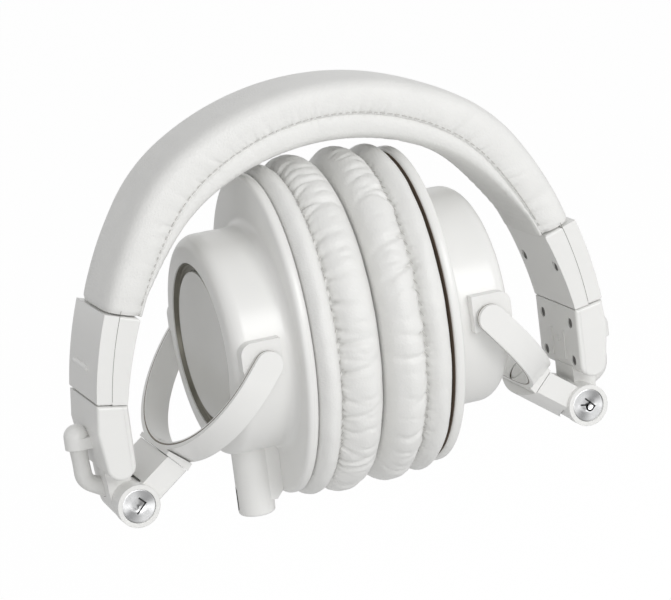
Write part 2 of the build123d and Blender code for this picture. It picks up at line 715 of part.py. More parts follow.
def socket_boss():
    """The barrel of the cable socket under the left cup's drum, in right hand coordinates."""
    barrel = rod(SOCKET_R, (SOCKET_X, 0, -STAND), (SOCKET_X, 0, -DRUM_R + 2))
    barrel = fillet(barrel.edges().sort_by(Axis.Z)[0], SOCKET_EDGE)
    root = FLANGE_FRONT + BAFFLE_THICK + GAP
    top = -DRUM_R + FLANGE_THICK
    mouth = -STAND + WEB_RISE
    web = front(make_face(Polyline((root, top), (SOCKET_X, top), (SOCKET_X, mouth),
                                   (SOCKET_X - SOCKET_R, mouth), (root, WEB_FOOT), close=True)),
                -WEB_HALF, WEB_HALF)
    return (barrel + web) - disc(DRUM_R - DRUM_WALL / 4, 0, DRUM_FACE)


def socket_levels():
    """Heights of the liner's mouth, the end of its lock recess, the bore's end and the liner's end."""
    mouth = -STAND + LINER_SINK
    lock_end = mouth + LOCK_DEPTH
    bore_end = lock_end + JACK_LENGTH
    return mouth, lock_end, bore_end, bore_end + LINER_WALL


def socket_liner():
    """The metal and plastic insert of the cable socket, with the bore for the plug."""
    mouth, lock_end, bore_end, back = socket_levels()
    body = rod(SOCKET_LINER_R, (SOCKET_X, 0, mouth), (SOCKET_X, 0, back))
    body = body - rod(JACK_R, (SOCKET_X, 0, mouth - 1), (SOCKET_X, 0, bore_end))
    return body - rod(LOCK_R, (SOCKET_X, 0, mouth - 1), (SOCKET_X, 0, lock_end))


def left_cup_housing():
    """The left housing, which also carries the cable socket."""
    body = cup_housing() + socket_boss()
    bore = rod(SOCKET_LINER_R, (SOCKET_X, 0, -STAND - 1), (SOCKET_X, 0, socket_levels()[-1]))
    return mirrored(body - bore)


def cap_ring():
    """The dark metal ring in the recess of the cup's face."""
    floor = DRUM_FACE - RECESS_DEPTH
    return disc(RECESS_R, floor, floor + RING_THICK) - disc(RECESS_R - RING_WIDTH, floor - 1, floor + 5)


def cap_plate():
    """The plain plate in the middle of the cup's face."""
    floor = DRUM_FACE - RECESS_DEPTH
    plate = disc(PLATE_R, floor, floor + PLATE_THICK)
    return fillet(plate.edges().sort_by(Axis.X)[-1], 0.5)


def baffle():
    """The plate that closes the cup and carries the driver."""
    body = oval(BAFFLE_Y, BAFFLE_Z, FLANGE_FRONT, FLANGE_FRONT + BAFFLE_THICK)
    body = body - disc(DRIVER_R - DRIVER_RIM, 0, 60)
    body = body - disc(DRIVER_R, FLANGE_FRONT + DRIVER_SEAT, 60)
    return body - Compound(cup_screws())


def driver_frame():
    """The driver's basket behind the baffle."""
    x0 = FLANGE_FRONT + DRIVER_SEAT
    back = x0 + DRIVER_FLANGE
    basket = disc(DRIVER_R, x0, back)
    basket = basket + rod(DRIVER_R - 2, (back, 0, 0), (x0 + DRIVER_DEPTH, 0, 0), MAGNET_R + 2)
    basket = basket - disc(DOME_R + 0.5, x0 - 1, x0 + DOME_BACK)
    return basket - disc(MAGNET_R, x0 + MAGNET_SEAT, x0 + 40)


def driver_magnet():
    """The magnet in the basket."""
    x0 = FLANGE_FRONT + DRIVER_SEAT + MAGNET_SEAT
    return disc(MAGNET_R, x0, x0 + MAGNET_THICK)


def driver_dome():
    """The diaphragm, a thin film disc with a rounded edge."""
    x0 = FLANGE_FRONT + DRIVER_SEAT
    body = disc(DOME_R, x0 + DOME_FRONT, x0 + DOME_BACK)
    return fillet(body.edges().sort_by(Axis.X)[0], 0.75 * (DOME_BACK - DOME_FRONT))


def damping_felt():
    """The felt disc that lines the back of the chamber."""
    back = DRUM_FACE - RECESS_DEPTH - FACE_WALL
    return disc(FELT_R, back - FELT_THICK, back)


def cup_screws():
    """The four screws that hold the baffle."""
    group = []
    for sy in (-1, 1):
        for sz in (-1, 1):
            at = (sy * CUP_SCREW_Y, sz * CUP_SCREW_Z)
            head = disc(SCREW_HEAD_R, FLANGE_FRONT, FLANGE_FRONT + CUP_SCREW_HEAD, *at)
            group.append(head + disc(SCREW_R, FLANGE_FRONT, FLANGE_FRONT + CUP_SCREW_LENGTH, *at))
    return group


def ear_pad():
    """The ear pad: a soft ring on its rolled base lip."""
    ring = oval(PAD_Y, PAD_Z, PAD_FRONT, PAD_SEAM)
    ring = fillet(ring.edges().sort_by(Axis.X)[0], PAD_ROUND)
    lip = oval(LIP_Y, LIP_Z, PAD_SEAM - 1, PAD_BACK)
    lip = fillet(lip.edges().sort_by(Axis.X)[-1], LIP_ROUND)
    return ring + lip - oval(EAR_Y, EAR_Z, -1, PAD_BACK + 1)


def pad_screen():
    """The cloth screen over the driver, inside the pad's opening."""
    return oval(EAR_Y, EAR_Z, SCREEN_X, SCREEN_X + SCREEN_THICK)


# ---------------------------------------------------------------- building
SIDE_PIECES = {
    "end_cap_outer": end_cap_outer,
    "end_cap_inner": end_cap_inner,
    "end_cap_screws": cap_screw,
    "detent_spring": detent_spring,
    "slider_rail": slider_rail,
    "slider_block": slider_block,
    "slider_cover": slider_cover,
    "slider_screws": block_screws,
    "cable_sleeve": cable_sleeve,
    "hinge_pin": hinge_pin,
    "hinge_disc": hinge_disc,
    "neck": neck,
    "swivel_screw": swivel_screw,
    "yoke": yoke,
    "yoke_core": yoke_core,
    "yoke_pins": yoke_pins,
    "cap_ring": cap_ring,
    "cap_plate": cap_plate,
    "baffle": baffle,
    "driver_frame": driver_frame,
    "driver_magnet": driver_magnet,
    "driver_dome": driver_dome,
    "damping_felt": damping_felt,
    "baffle_screws": cup_screws,
    "ear_pad": ear_pad,
    "pad_screen": pad_screen,
}


def solids_of(made):
    """The solids of a piece, whether it is one part or a group."""
    group = made if isinstance(made, list) else [made]
    return [solid for part in group for solid in part.solids()]


def save(name, solids):
    """Write a node, lifted onto the surface it stands on."""
    lifted = [solid.moved(Location((0, 0, STAND))) for solid in solids]
    export_step(lifted[0] if len(lifted) == 1 else Compound(lifted), f"parts/{name}.step")


def main():
    """Build and write every node."""
    os.makedirs("parts", exist_ok=True)
    save("spring_band", solids_of(spring_band()))
    save("headband_sleeve", solids_of(headband_sleeve()))
    save("head_cushion", solids_of(head_cushion()))
    for name, make in SIDE_PIECES.items():
        right = solids_of(make())
        save(f"{name}_right", right)
        save(f"{name}_left", [mirrored(solid) for solid in right])
    save("cup_housing_right", solids_of(cup_housing()))
    save("cup_housing_left", solids_of(left_cup_housing()))
    save("socket_liner", solids_of(mirrored(socket_liner())))


main()
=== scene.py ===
"""Looks of a pair of white folding over-ear headphones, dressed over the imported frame.

Every length is in metres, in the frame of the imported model: X runs from the left unit to the right
unit, +Y points to the back of the head and Z is up, with Z = 0 on the surface the folded set stands on.
"""

import json
import logging
import math
import random
from dataclasses import dataclass, field
from enum import Enum
from typing import Callable, Iterable, Sequence

import bmesh
import bpy
import numpy as np
from mathutils import Matrix, Vector

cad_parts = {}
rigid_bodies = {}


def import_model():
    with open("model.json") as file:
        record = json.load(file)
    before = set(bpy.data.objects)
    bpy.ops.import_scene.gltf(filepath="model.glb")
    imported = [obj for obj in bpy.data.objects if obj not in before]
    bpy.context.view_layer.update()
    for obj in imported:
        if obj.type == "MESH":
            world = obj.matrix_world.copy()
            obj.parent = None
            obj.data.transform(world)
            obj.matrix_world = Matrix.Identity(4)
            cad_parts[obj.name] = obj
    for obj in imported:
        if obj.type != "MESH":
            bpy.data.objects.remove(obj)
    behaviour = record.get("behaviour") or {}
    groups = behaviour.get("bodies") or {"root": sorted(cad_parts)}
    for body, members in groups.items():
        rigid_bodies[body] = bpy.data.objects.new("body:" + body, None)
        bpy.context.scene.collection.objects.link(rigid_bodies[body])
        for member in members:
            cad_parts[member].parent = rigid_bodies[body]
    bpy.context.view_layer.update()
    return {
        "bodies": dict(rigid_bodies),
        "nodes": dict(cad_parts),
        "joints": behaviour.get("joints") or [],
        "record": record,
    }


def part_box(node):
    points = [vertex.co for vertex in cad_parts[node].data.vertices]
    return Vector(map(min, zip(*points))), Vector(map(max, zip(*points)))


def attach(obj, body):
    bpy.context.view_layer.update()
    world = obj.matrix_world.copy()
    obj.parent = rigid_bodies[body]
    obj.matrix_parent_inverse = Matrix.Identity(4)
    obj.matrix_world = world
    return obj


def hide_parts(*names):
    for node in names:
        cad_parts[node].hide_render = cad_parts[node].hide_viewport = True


MM = 0.001
LOG = logging.getLogger("headphones")
Piece = bpy.types.Object
Socket = bpy.types.NodeSocket


def mm(*lengths: float) -> tuple[float, ...]:
    """Lengths in metres from lengths in millimetres."""
    return tuple(length * MM for length in lengths)


def full_turn(count: int) -> np.ndarray:
    """Evenly spaced angles of one turn."""
    return np.linspace(0.0, 2 * math.pi, count, endpoint=False)


class Side(Enum):
    """The two units of the set, with the sign of their X."""

    LEFT = -1
    RIGHT = 1

    @property
    def word(self) -> str:
        """The name's ending for a piece of this side."""
        return self.name.lower()

    def body(self, unit: str) -> str:
        """The name of one of this side's bodies."""
        return f"{self.word}_{unit}_unit"

    def pick(self, left: float, right: float) -> float:
        """This side's one of two values."""
        return left if self is Side.LEFT else right


# ------------------------------------------------------------------------------------ finishes
class Nodes:
    """A node tree and the steps that every use of one repeats."""

    def __init__(self, tree: bpy.types.NodeTree) -> None:
        """Start with an empty tree.

        Args:
            tree: The tree of a material or of the world.
        """
        self.tree = tree
        self.tree.nodes.clear()

    def node(self, kind: str, **values: object) -> bpy.types.Node:
        """Add a node and set its sockets by name.

        Args:
            kind: The node's class name.
            **values: Socket values; an underscore stands for a space.

        Returns:
            The new node.
        """
        made = self.tree.nodes.new(kind)
        for key, value in values.items():
            made.inputs[key.replace("_", " ")].default_value = value
        return made

    def link(self, source: Socket, target: Socket) -> None:
        """Join two sockets."""
        self.tree.links.new(source, target)

    def maths(self, operation: str, *inputs: object) -> Socket:
        """Add a maths node.

        Args:
            operation: The operation's name.
            *inputs: For each input a number or the socket that feeds it.

        Returns:
            The value socket.
        """
        made = self.node("ShaderNodeMath")
        made.operation = operation
        for socket, value in zip(made.inputs, inputs):
            if isinstance(value, Socket):
                self.link(value, socket)
            else:
                socket.default_value = value
        return made.outputs["Value"]

    def span(self, value: Socket, low: float, high: float) -> Socket:
        """Map a 0 to 1 field to a range."""
        made = self.node("ShaderNodeMapRange", To_Min=low, To_Max=high)
        self.link(value, made.inputs["Value"])
        return made.outputs["Result"]


class Bench(Nodes):
    """A material's node tree with the fields and reliefs that the finishes share."""

    def __init__(self, name: str) -> None:
        """Start an empty material.

        Args:
            name: The material's name.
        """
        self.material = bpy.data.materials.new(f"finish_{name}")
        self.material.use_nodes = True
        super().__init__(self.material.node_tree)
        self.output = self.tree.nodes.new("ShaderNodeOutputMaterial")
        self.coordinates = self.tree.nodes.new("ShaderNodeTexCoord")

    def place(self, node: bpy.types.Node) -> bpy.types.Node:
        """Feed a texture node with object coordinates and return it."""
        self.link(self.coordinates.outputs["Object"], node.inputs["Vector"])
        return node

    def noise(self, scale: float, detail: float = 3.0, roughness: float = 0.5) -> Socket:
        """A noise field over the object.

        Args:
            scale: Cells per metre.
            detail: Octaves.
            roughness: Strength of the finer octaves.

        Returns:
            The field's value socket.
        """
        made = self.node("ShaderNodeTexNoise", Scale=scale, Detail=detail, Roughness=roughness)
        return self.place(made).outputs["Fac"]

    def cells(self, scale: float, feature: str = "F1") -> Socket:
        """A cell pattern over the object.

        Args:
            scale: Cells per metre.
            feature: Which distance of the cell pattern.

        Returns:
            The distance socket.
        """
        made = self.node("ShaderNodeTexVoronoi", Scale=scale)
        made.feature = feature
        return self.place(made).outputs["Distance"]

    def tint(self, value: Socket, low: Sequence[float], high: Sequence[float],
             start: float = 0.3, end: float = 0.7) -> Socket:
        """Map a 0 to 1 field to a colour between two colours.

        Args:
            value: The field.
            low: Colour at the low end.
            high: Colour at the high end.
            start: Field value where the change begins.
            end: Field value where it is complete.

        Returns:
            The colour socket.
        """
        ramp = self.node("ShaderNodeValToRGB")
        ramp.color_ramp.elements[0].position = start
        ramp.color_ramp.elements[0].color = (*low, 1.0)
        ramp.color_ramp.elements[1].position = end
        ramp.color_ramp.elements[1].color = (*high, 1.0)
        self.link(value, ramp.inputs["Fac"])
        return ramp.outputs["Color"]

    def drift(self, shader: bpy.types.Node, colour: Sequence[float], share: float, *noise: float) -> None:
        """Let the base colour drift down to a share of itself.

        Args:
            shader: The shader.
            colour: The full colour.
            share: What is left of it at the darkest.
            *noise: The field's cells per metre and octaves.
        """
        low = tuple(c * share for c in colour)
        self.link(self.tint(self.noise(*noise), low, colour), shader.inputs["Base Color"])

    def add(self, a: Socket, b: Socket, weight: float = 1.0) -> Socket:
        """Add a weighted field to another: a + weight * b."""
        return self.maths("MULTIPLY_ADD", b, weight, a)

    def relief(self, height: Socket, depth: float, strength: float = 1.0) -> Socket:
        """Turn a height field into a normal.

        Args:
            height: The field, from 0 to 1.
            depth: Depth of the relief in metres.
            strength: How much of it shows.

        Returns:
            The normal socket.
        """
        bump = self.node("ShaderNodeBump", Strength=strength, Distance=depth)
        self.link(height, bump.inputs["Height"])
        return bump.outputs["Normal"]

    def surface(self, **values: object) -> bpy.types.Node:
        """Add the shader, set its own sockets and join it to the output."""
        shader = self.node("ShaderNodeBsdfPrincipled", **values)
        self.link(shader.outputs["BSDF"], self.output.inputs["Surface"])
        return shader


@dataclass(frozen=True)
class GlossPlastic:
    """White injection-moulded plastic with a polished skin."""

    name: str = "white_gloss"
    colour: tuple = (0.87, 0.868, 0.85)
    roughness: tuple = (0.28, 0.38)
    coat: float = 0.3
    edge: float = 0.3 * MM

    def make(self) -> bpy.types.Material:
        """Build the material: faint colour drift, flow waviness and hairline polish marks."""
        bench = Bench(self.name)
        shader = bench.surface(Metallic=0.0, IOR=1.5, Coat_Weight=self.coat, Coat_Roughness=0.24)
        bench.drift(shader, self.colour, 0.985, 45.0)
        bench.link(bench.span(bench.noise(320.0, 4.0), *self.roughness), shader.inputs["Roughness"])
        wave = bench.add(bench.noise(260.0, 2.0), bench.noise(2600.0, 2.0), 0.12)
        relief = bench.relief(wave, 0.00004, 0.35)
        edge = bench.node("ShaderNodeBevel", Radius=self.edge)
        edge.samples = 4
        bench.link(edge.outputs["Normal"], relief.node.inputs["Normal"])
        bench.link(relief, shader.inputs["Normal"])
        return bench.material


@dataclass(frozen=True)
class Leatherette:
    """Thin white imitation leather with a fine pebbled grain."""

    name: str = "white_leatherette"
    colour: tuple = (0.86, 0.858, 0.84)
    cell: float = 1500.0
    depth: float = 0.00012

    def make(self) -> bpy.types.Material:
        """Build the material: pebble grain, soft creases and a faint cloth-like sheen."""
        bench = Bench(self.name)
        shader = bench.surface(Metallic=0.0, IOR=1.47, Sheen_Weight=0.05, Sheen_Roughness=0.45,
                               Specular_IOR_Level=0.42)
        bench.drift(shader, self.colour, 0.965, 120.0, 5.0)
        bench.link(bench.span(bench.noise(500.0, 4.0), 0.36, 0.5), shader.inputs["Roughness"])
        grain = bench.cells(self.cell)
        grain = bench.add(grain, bench.cells(self.cell * 2.3), 0.45)
        grain = bench.add(grain, bench.noise(420.0, 6.0, 0.6), 0.9)
        bench.link(bench.relief(grain, self.depth, 0.55), shader.inputs["Normal"])
        return bench.material


@dataclass(frozen=True)
class Metal:
    """Bare or painted metal with fine random scratches."""

    name: str
    colour: tuple
    roughness: tuple = (0.25, 0.4)
    metallic: float = 1.0
    grain: float = 900.0

    def make(self) -> bpy.types.Material:
        """Build the material: cloudy roughness and a shallow scratched relief."""
        bench = Bench(self.name)
        shader = bench.surface(Metallic=self.metallic)
        bench.drift(shader, self.colour, 0.86, 300.0, 5.0)
        cloud = bench.noise(self.grain, 5.0, 0.65)
        bench.link(bench.span(cloud, *self.roughness), shader.inputs["Roughness"])
        bench.link(bench.relief(bench.noise(self.grain * 3.0, 3.0), 0.00002, 0.3), shader.inputs["Normal"])
        return bench.material


@dataclass(frozen=True)
class SpunAluminium:
    """Aluminium turned on a lathe: a painted fan of highlight and shade across fine rings about the part's
    own Y axis.
    """

    name: str = "spun_aluminium"
    # How many painted highlight fans go round the disc.
    fans: float = 2.0
    colour: tuple = (0.93, 0.935, 0.94)

    def make(self) -> bpy.types.Material:
        """Build the material: radial tangent, strong anisotropy, ring-shaped roughness and a base colour
        with painted highlight fans.
        """
        bench = Bench(self.name)
        shader = bench.surface(Metallic=1.0, Anisotropic=0.9)
        tangent = bench.node("ShaderNodeTangent")
        tangent.direction_type = "RADIAL"
        tangent.axis = "Y"
        bench.link(tangent.outputs["Tangent"], shader.inputs["Tangent"])
        rings = bench.node("ShaderNodeTexWave", Scale=1500.0, Distortion=0.3, Detail=1.0)
        rings.wave_type = "RINGS"
        rings.rings_direction = "Y"
        bench.place(rings)
        # Painted highlight: the base colour swings between light and dark sectors round the disc, standing
        # in for the conic glints of a spun finish.
        painted_fan = bench.node("ShaderNodeTexGradient")
        painted_fan.gradient_type = "RADIAL"
        turn = bench.node("ShaderNodeMapping", Rotation=(math.pi / 2, 0.0, 0.0))
        bench.place(turn)
        bench.link(turn.outputs["Vector"], painted_fan.inputs["Vector"])
        sweep = bench.maths("MULTIPLY", painted_fan.outputs["Fac"], self.fans * 2 * math.pi)
        share = bench.node("ShaderNodeMapRange", From_Min=-1.0, From_Max=1.0)
        bench.link(bench.maths("SINE", sweep), share.inputs["Value"])
        low = tuple(c * 0.42 for c in self.colour)
        painted_glint = bench.add(share.outputs["Result"], rings.outputs["Fac"], 0.08)
        bench.link(bench.tint(painted_glint, low, self.colour, 0.05, 0.75), shader.inputs["Base Color"])
        bench.link(bench.span(rings.outputs["Fac"], 0.27, 0.31), shader.inputs["Roughness"])
        bench.link(bench.relief(rings.outputs["Fac"], 0.000001, 0.2), shader.inputs["Normal"])
        return bench.material


@dataclass(frozen=True)
class Rubber:
    """Soft matte rubber or plastic with a dusty skin."""

    name: str
    colour: tuple
    roughness: tuple = (0.55, 0.7)

    def make(self) -> bpy.types.Material:
        """Build the material: matte, with a fine moulded texture."""
        bench = Bench(self.name)
        shader = bench.surface(Metallic=0.0, Specular_IOR_Level=0.4)
        bench.drift(shader, self.colour, 0.93, 200.0, 4.0)
        bench.link(bench.span(bench.noise(900.0), *self.roughness), shader.inputs["Roughness"])
        bench.link(bench.relief(bench.noise(2200.0, 4.0), 0.00003, 0.5), shader.inputs["Normal"])
        return bench.material


@dataclass(frozen=True)
class Cloth:
    """Open knit or felt, woven from two crossing sets of waves."""

    name: str
    colour: tuple
    pitch: float = 1800.0

    def make(self) -> bpy.types.Material:
        """Build the material: crossing threads with dark gaps between them."""
        bench = Bench(self.name)
        shader = bench.surface(Metallic=0.0, Sheen_Weight=0.35, Sheen_Roughness=0.5, Roughness=0.9)
        threads = []
        for direction in ("Y", "Z"):
            wave = bench.node("ShaderNodeTexWave", Scale=self.pitch / 6.0, Distortion=0.6, Detail=1.0)
            wave.bands_direction = direction
            threads.append(bench.place(wave).outputs["Fac"])
        weave = bench.add(threads[0], threads[1], 0.9)
        low = tuple(c * 0.45 for c in self.colour)
        bench.link(bench.tint(weave, low, self.colour, 0.35, 1.1), shader.inputs["Base Color"])
        bench.link(bench.relief(weave, 0.0002, 0.8), shader.inputs["Normal"])
        return bench.material


class Paint(Enum):
    """Every finish of the set."""

    GLOSS = GlossPlastic()
    SKIN = Leatherette()
    STEEL = Metal("satin_steel", (0.55, 0.54, 0.52))
    CORE = Metal("yoke_core_steel", (0.2, 0.175, 0.145), (0.35, 0.5), 0.6)
    BLACKENED = Metal("blackened_steel", (0.16, 0.155, 0.15), (0.35, 0.5), 0.8)
    DISC = SpunAluminium()
    RING = Metal("olive_ring", (0.21, 0.2, 0.165), (0.3, 0.42), 0.4)
    PLATE = GlossPlastic("pale_plate", (0.74, 0.738, 0.715), (0.14, 0.22), 0.5, 0.1 * MM)
    SOCKET = Metal("socket_metal", (0.35, 0.35, 0.35))
    SLEEVE = Rubber("grey_rubber", (0.8, 0.798, 0.78))
    # Dark brown of the ring that paints the shade in the groove behind each ear pad.
    GASKET = Rubber("brown_gasket", (0.12, 0.088, 0.062))
    BLACK = Rubber("black_moulding", (0.03, 0.03, 0.03), (0.4, 0.55))
    FILM = Rubber("diaphragm_film", (0.3, 0.28, 0.25), (0.2, 0.3))
    FELT = Cloth("grey_felt", (0.25, 0.25, 0.25), 1200.0)
    SCREEN = Cloth("screen_cloth", (0.09, 0.09, 0.09), 2400.0)
    # Dark grey that paints the shade in the swivel joints and along the end caps' parting lines.
    SHADOW = Rubber("joint_grey", (0.3, 0.295, 0.28), (0.6, 0.8))
    THREAD = Rubber("white_thread", (0.62, 0.615, 0.59), (0.6, 0.75))

    def material(self) -> bpy.types.Material:
        """The finish's material, made once."""
        found = bpy.data.materials.get(f"finish_{self.value.name}")
        return found or self.value.make()


# ------------------------------------------------------------------------------------ mesh tools
def linked(name: str, data: bpy.types.ID) -> Piece:
    """Make an object of some data and put it in the scene."""
    made = bpy.data.objects.new(name, data)
    bpy.context.scene.collection.objects.link(made)
    return made


def plain_mesh(name: str, vertices: list, faces: list) -> Piece:
    """Make a piece from its points and faces.

    Args:
        name: The piece's name.
        vertices: The points.
        faces: The point numbers of each face.

    Returns:
        The new object.
    """
    mesh = bpy.data.meshes.new(name)
    mesh.from_pydata(vertices, [], faces)
    return linked(name, mesh)


def grid_mesh(name: str, points: np.ndarray, closed_rows: bool, closed_columns: bool,
              caps: bool = False) -> Piece:
    """Build a smooth mesh from a grid of points.

    Args:
        name: The object's name.
        points: An array of rows, columns and coordinates.
        closed_rows: Whether the last row joins the first.
        closed_columns: Whether the last column joins the first.
        caps: Whether the open first and last rows are closed with a face.

    Returns:
        The new object.
    """
    rows, columns = points.shape[:2]
    vertices = points.reshape(-1, 3)
    faces = []
    for i in range(rows if closed_rows else rows - 1):
        for j in range(columns if closed_columns else columns - 1):
            a, b = i * columns + j, i * columns + (j + 1) % columns
            c, d = ((i + 1) % rows) * columns + (j + 1) % columns, ((i + 1) % rows) * columns + j
            faces.append((a, b, c, d))
    if caps:
        faces.append(tuple(reversed(range(columns))))
        faces.append(tuple((rows - 1) * columns + j for j in range(columns)))
    made = plain_mesh(name, vertices.tolist(), faces)
    made.data.validate()
    outward(made)
    made.data.shade_smooth()
    return made


def outward(piece: Piece) -> None:
    """Turn a closed mesh's faces so that its volume is positive."""
    shape = bmesh.new()
    shape.from_mesh(piece.data)
    bmesh.ops.recalc_face_normals(shape, faces=shape.faces)
    if shape.calc_volume(signed=True) < 0:
        bmesh.ops.reverse_faces(shape, faces=shape.faces)
    shape.to_mesh(piece.data)
    shape.free()


def spline(points: Sequence[Sequence[float]], count: int, closed: bool = False) -> np.ndarray:
    """A smooth curve through points, evenly spaced along its length.

    Args:
        points: The points to pass through.
        count: How many samples to return.
        closed: Whether the curve returns to its first point.

    Returns:
        An array of the samples.
    """
    knots = np.array(points, float)
    total = len(knots)
    dense = []
    spans = total if closed else total - 1
    for i in range(spans):
        before = knots[(i - 1) % total] if closed or i else 2 * knots[0] - knots[1]
        start, end = knots[i], knots[(i + 1) % total]
        after = knots[(i + 2) % total] if closed or i < spans - 1 else 2 * knots[-1] - knots[-2]
        for t in np.linspace(0.0, 1.0, 24, endpoint=False):
            dense.append(0.5 * (2 * start + (end - before) * t
                                + (2 * before - 5 * start + 4 * end - after) * t * t
                                + (3 * start - before - 3 * end + after) * t ** 3))
    dense.append(knots[0] if closed else knots[-1])
    dense = np.array(dense)
    lengths = np.concatenate([[0.0], np.cumsum(np.linalg.norm(np.diff(dense, axis=0), axis=1))])
    stops = np.linspace(0.0, lengths[-1], count, endpoint=not closed)
    return np.stack([np.interp(stops, lengths, dense[:, k]) for k in range(dense.shape[1])], axis=1)


def finer(points: np.ndarray, factor: int, axis: int, closed: bool) -> np.ndarray:
    """Resample a grid with a smooth curve through its points.

    Args:
        points: The grid.
        factor: How many times as many points.
        axis: Along rows or columns.
        closed: Whether the grid closes on itself that way.

    Returns:
        The finer grid.
    """
    grid = np.moveaxis(points, axis, 0)
    size = len(grid)
    if closed:
        before, after, later = np.roll(grid, 1, 0), np.roll(grid, -1, 0), np.roll(grid, -2, 0)
        spans = size
    else:
        long = np.concatenate([2 * grid[:1] - grid[1:2], grid, 2 * grid[-1:] - grid[-2:-1]])
        before, grid, after, later = long[:-3], long[1:-2], long[2:-1], long[3:]
        spans = size - 1
    made = np.empty((spans * factor, *grid.shape[1:]))
    for k in range(factor):
        t = k / factor
        made[k::factor] = 0.5 * (2 * grid + (after - before) * t
                                 + (2 * before - 5 * grid + 4 * after - later) * t * t
                                 + (3 * grid - before - 3 * after + later) * t ** 3)
    if not closed:
        made = np.concatenate([made, np.moveaxis(points, axis, 0)[-1:]])
    return np.moveaxis(made, 0, axis)


def sink(points: np.ndarray, depth: np.ndarray, closed: tuple) -> np.ndarray:
    """Push the points of a closed skin inwards.

    Args:
        points: The grid.
        depth: How far each point sinks along its normal.
        closed: Whether rows and columns close on themselves.

    Returns:
        The pushed grid.
    """
    slopes = []
    for axis in (0, 1):
        if closed[axis]:
            slopes.append(np.roll(points, -1, axis) - np.roll(points, 1, axis))
        else:
            slopes.append(np.gradient(points, axis=axis))
    normal = np.cross(slopes[0], slopes[1])
    normal /= np.maximum(np.linalg.norm(normal, axis=2, keepdims=True), 1e-12)
    middle = points.mean(axis=1, keepdims=True)
    if np.sum(normal * (points - middle)) < 0:
        normal = -normal
    return points - normal * depth[:, :, None]


def finish(piece: Piece, paint: Paint, body: str) -> Piece:
    """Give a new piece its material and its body.

    Args:
        piece: The piece.
        paint: Its finish.
        body: The body that it rides on.

    Returns:
        The same piece.
    """
    piece.data.materials.clear()
    piece.data.materials.append(paint.material())
    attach(piece, body)
    LOG.info("%s rides on %s", piece.name, body)
    return piece


@dataclass(frozen=True)
class Inflation:
    """Cloth under pressure: how a stuffed skin fills out between its sewn lines."""

    pressure: float = 4.0
    growth: float = 0.02
    limit: float = 1.2 * MM
    frames: int = 20
    calm: int = 2

    def fill(self, points: np.ndarray, columns: Iterable[int], closed: tuple, ends: int = 0) -> np.ndarray:
        """Fill out a skin that is laid out as a grid.

        Args:
            points: The grid.
            columns: The columns that the seams hold still.
            closed: Whether rows and columns close on themselves.
            ends: How many rows at each end are held as well.

        Returns:
            The filled grid.
        """
        rows, across = points.shape[:2]
        piece = grid_mesh("skin_blank", points, *closed, caps=not closed[0])
        held = {i * across + j for i in range(rows) for j in columns}
        for k in range(ends):
            held |= {i * across + j for i in (k, rows - 1 - k) for j in range(across)}
        self.run(piece, held)
        moved = np.empty(len(piece.data.vertices) * 3)
        piece.data.vertices.foreach_get("co", moved)
        bpy.data.objects.remove(piece)
        step = moved.reshape(rows, across, 3) - points
        for _ in range(self.calm):
            for axis in (0, 1):
                if closed[axis]:
                    near = np.roll(step, 1, axis) + np.roll(step, -1, axis)
                else:
                    near = np.concatenate([step[:1], step[:-1]]) + np.concatenate([step[1:], step[-1:]])
                step = 0.5 * step + 0.25 * near
        return points + step

    def run(self, piece: Piece, held: Iterable[int]) -> None:
        """Simulate the skin and keep the result in its mesh.

        Args:
            piece: A closed skin.
            held: The vertices that the seams hold still.
        """
        start = np.empty(len(piece.data.vertices) * 3)
        piece.data.vertices.foreach_get("co", start)
        start = start.reshape(-1, 3)
        seams = piece.vertex_groups.new(name="seams")
        seams.add([int(i) for i in held], 1.0, "REPLACE")
        cloth = piece.modifiers.new("cloth", "CLOTH")
        settings = cloth.settings
        settings.quality = 6
        settings.mass = 0.05
        settings.tension_stiffness = 12.0
        settings.compression_stiffness = 8.0
        settings.shear_stiffness = 6.0
        settings.bending_stiffness = 0.25
        settings.shrink_min = -self.growth
        settings.shrink_max = -self.growth
        settings.vertex_group_mass = "seams"
        settings.use_pressure = True
        settings.uniform_pressure_force = self.pressure
        settings.effector_weights.gravity = 0.0
        cloth.point_cache.frame_start = 1
        cloth.point_cache.frame_end = self.frames
        scene = bpy.context.scene
        for frame in range(1, self.frames + 1):
            scene.frame_set(frame)
        graph = bpy.context.evaluated_depsgraph_get()
        moved = np.empty_like(start).reshape(-1)
        piece.evaluated_get(graph).data.vertices.foreach_get("co", moved)
        step = moved.reshape(-1, 3) - start
        length = np.linalg.norm(step, axis=1, keepdims=True)
        step *= np.minimum(1.0, self.limit / np.maximum(length, 1e-9))
        piece.modifiers.clear()
        piece.data.vertices.foreach_set("co", (start + step).reshape(-1))
        piece.data.update()
        scene.frame_set(1)
        LOG.info("%s: cloth moved up to %.2f mm", piece.name, float(length.max()) / MM)


@dataclass(frozen=True)
class Pleats:
    """The gathers that a sewn line makes in a skin, spread along the line."""

    pitch: float
    depth: tuple
    reach: tuple
    width: tuple
    seed: int

    def field(self, along: np.ndarray, away: np.ndarray, total: float) -> np.ndarray:
        """Depth of the gathers.

        Args:
            along: Distance along the seam of each point.
            away: Distance from the seam of each point; negative where the gathers don't reach.
            total: The seam's length, where the pattern closes.

        Returns:
            How far each point sinks.
        """
        draw = random.Random(self.seed)
        sunk = np.zeros_like(along)
        place = 0.0
        while place < total:
            depth = draw.uniform(*self.depth)
            reach = draw.uniform(*self.reach)
            width = draw.uniform(*self.width)
            lean = draw.uniform(-0.28, 0.28)
            gap = along - place - lean * away
            gap = (gap + total / 2) % total - total / 2
            fade = np.exp(-(np.maximum(away, 0.0) / reach) ** 2) * (away >= 0)
            sunk += depth * fade * np.exp(-(gap / (width * (1 + away / reach))) ** 2)
            place += self.pitch * draw.uniform(0.55, 1.5)
        return sunk


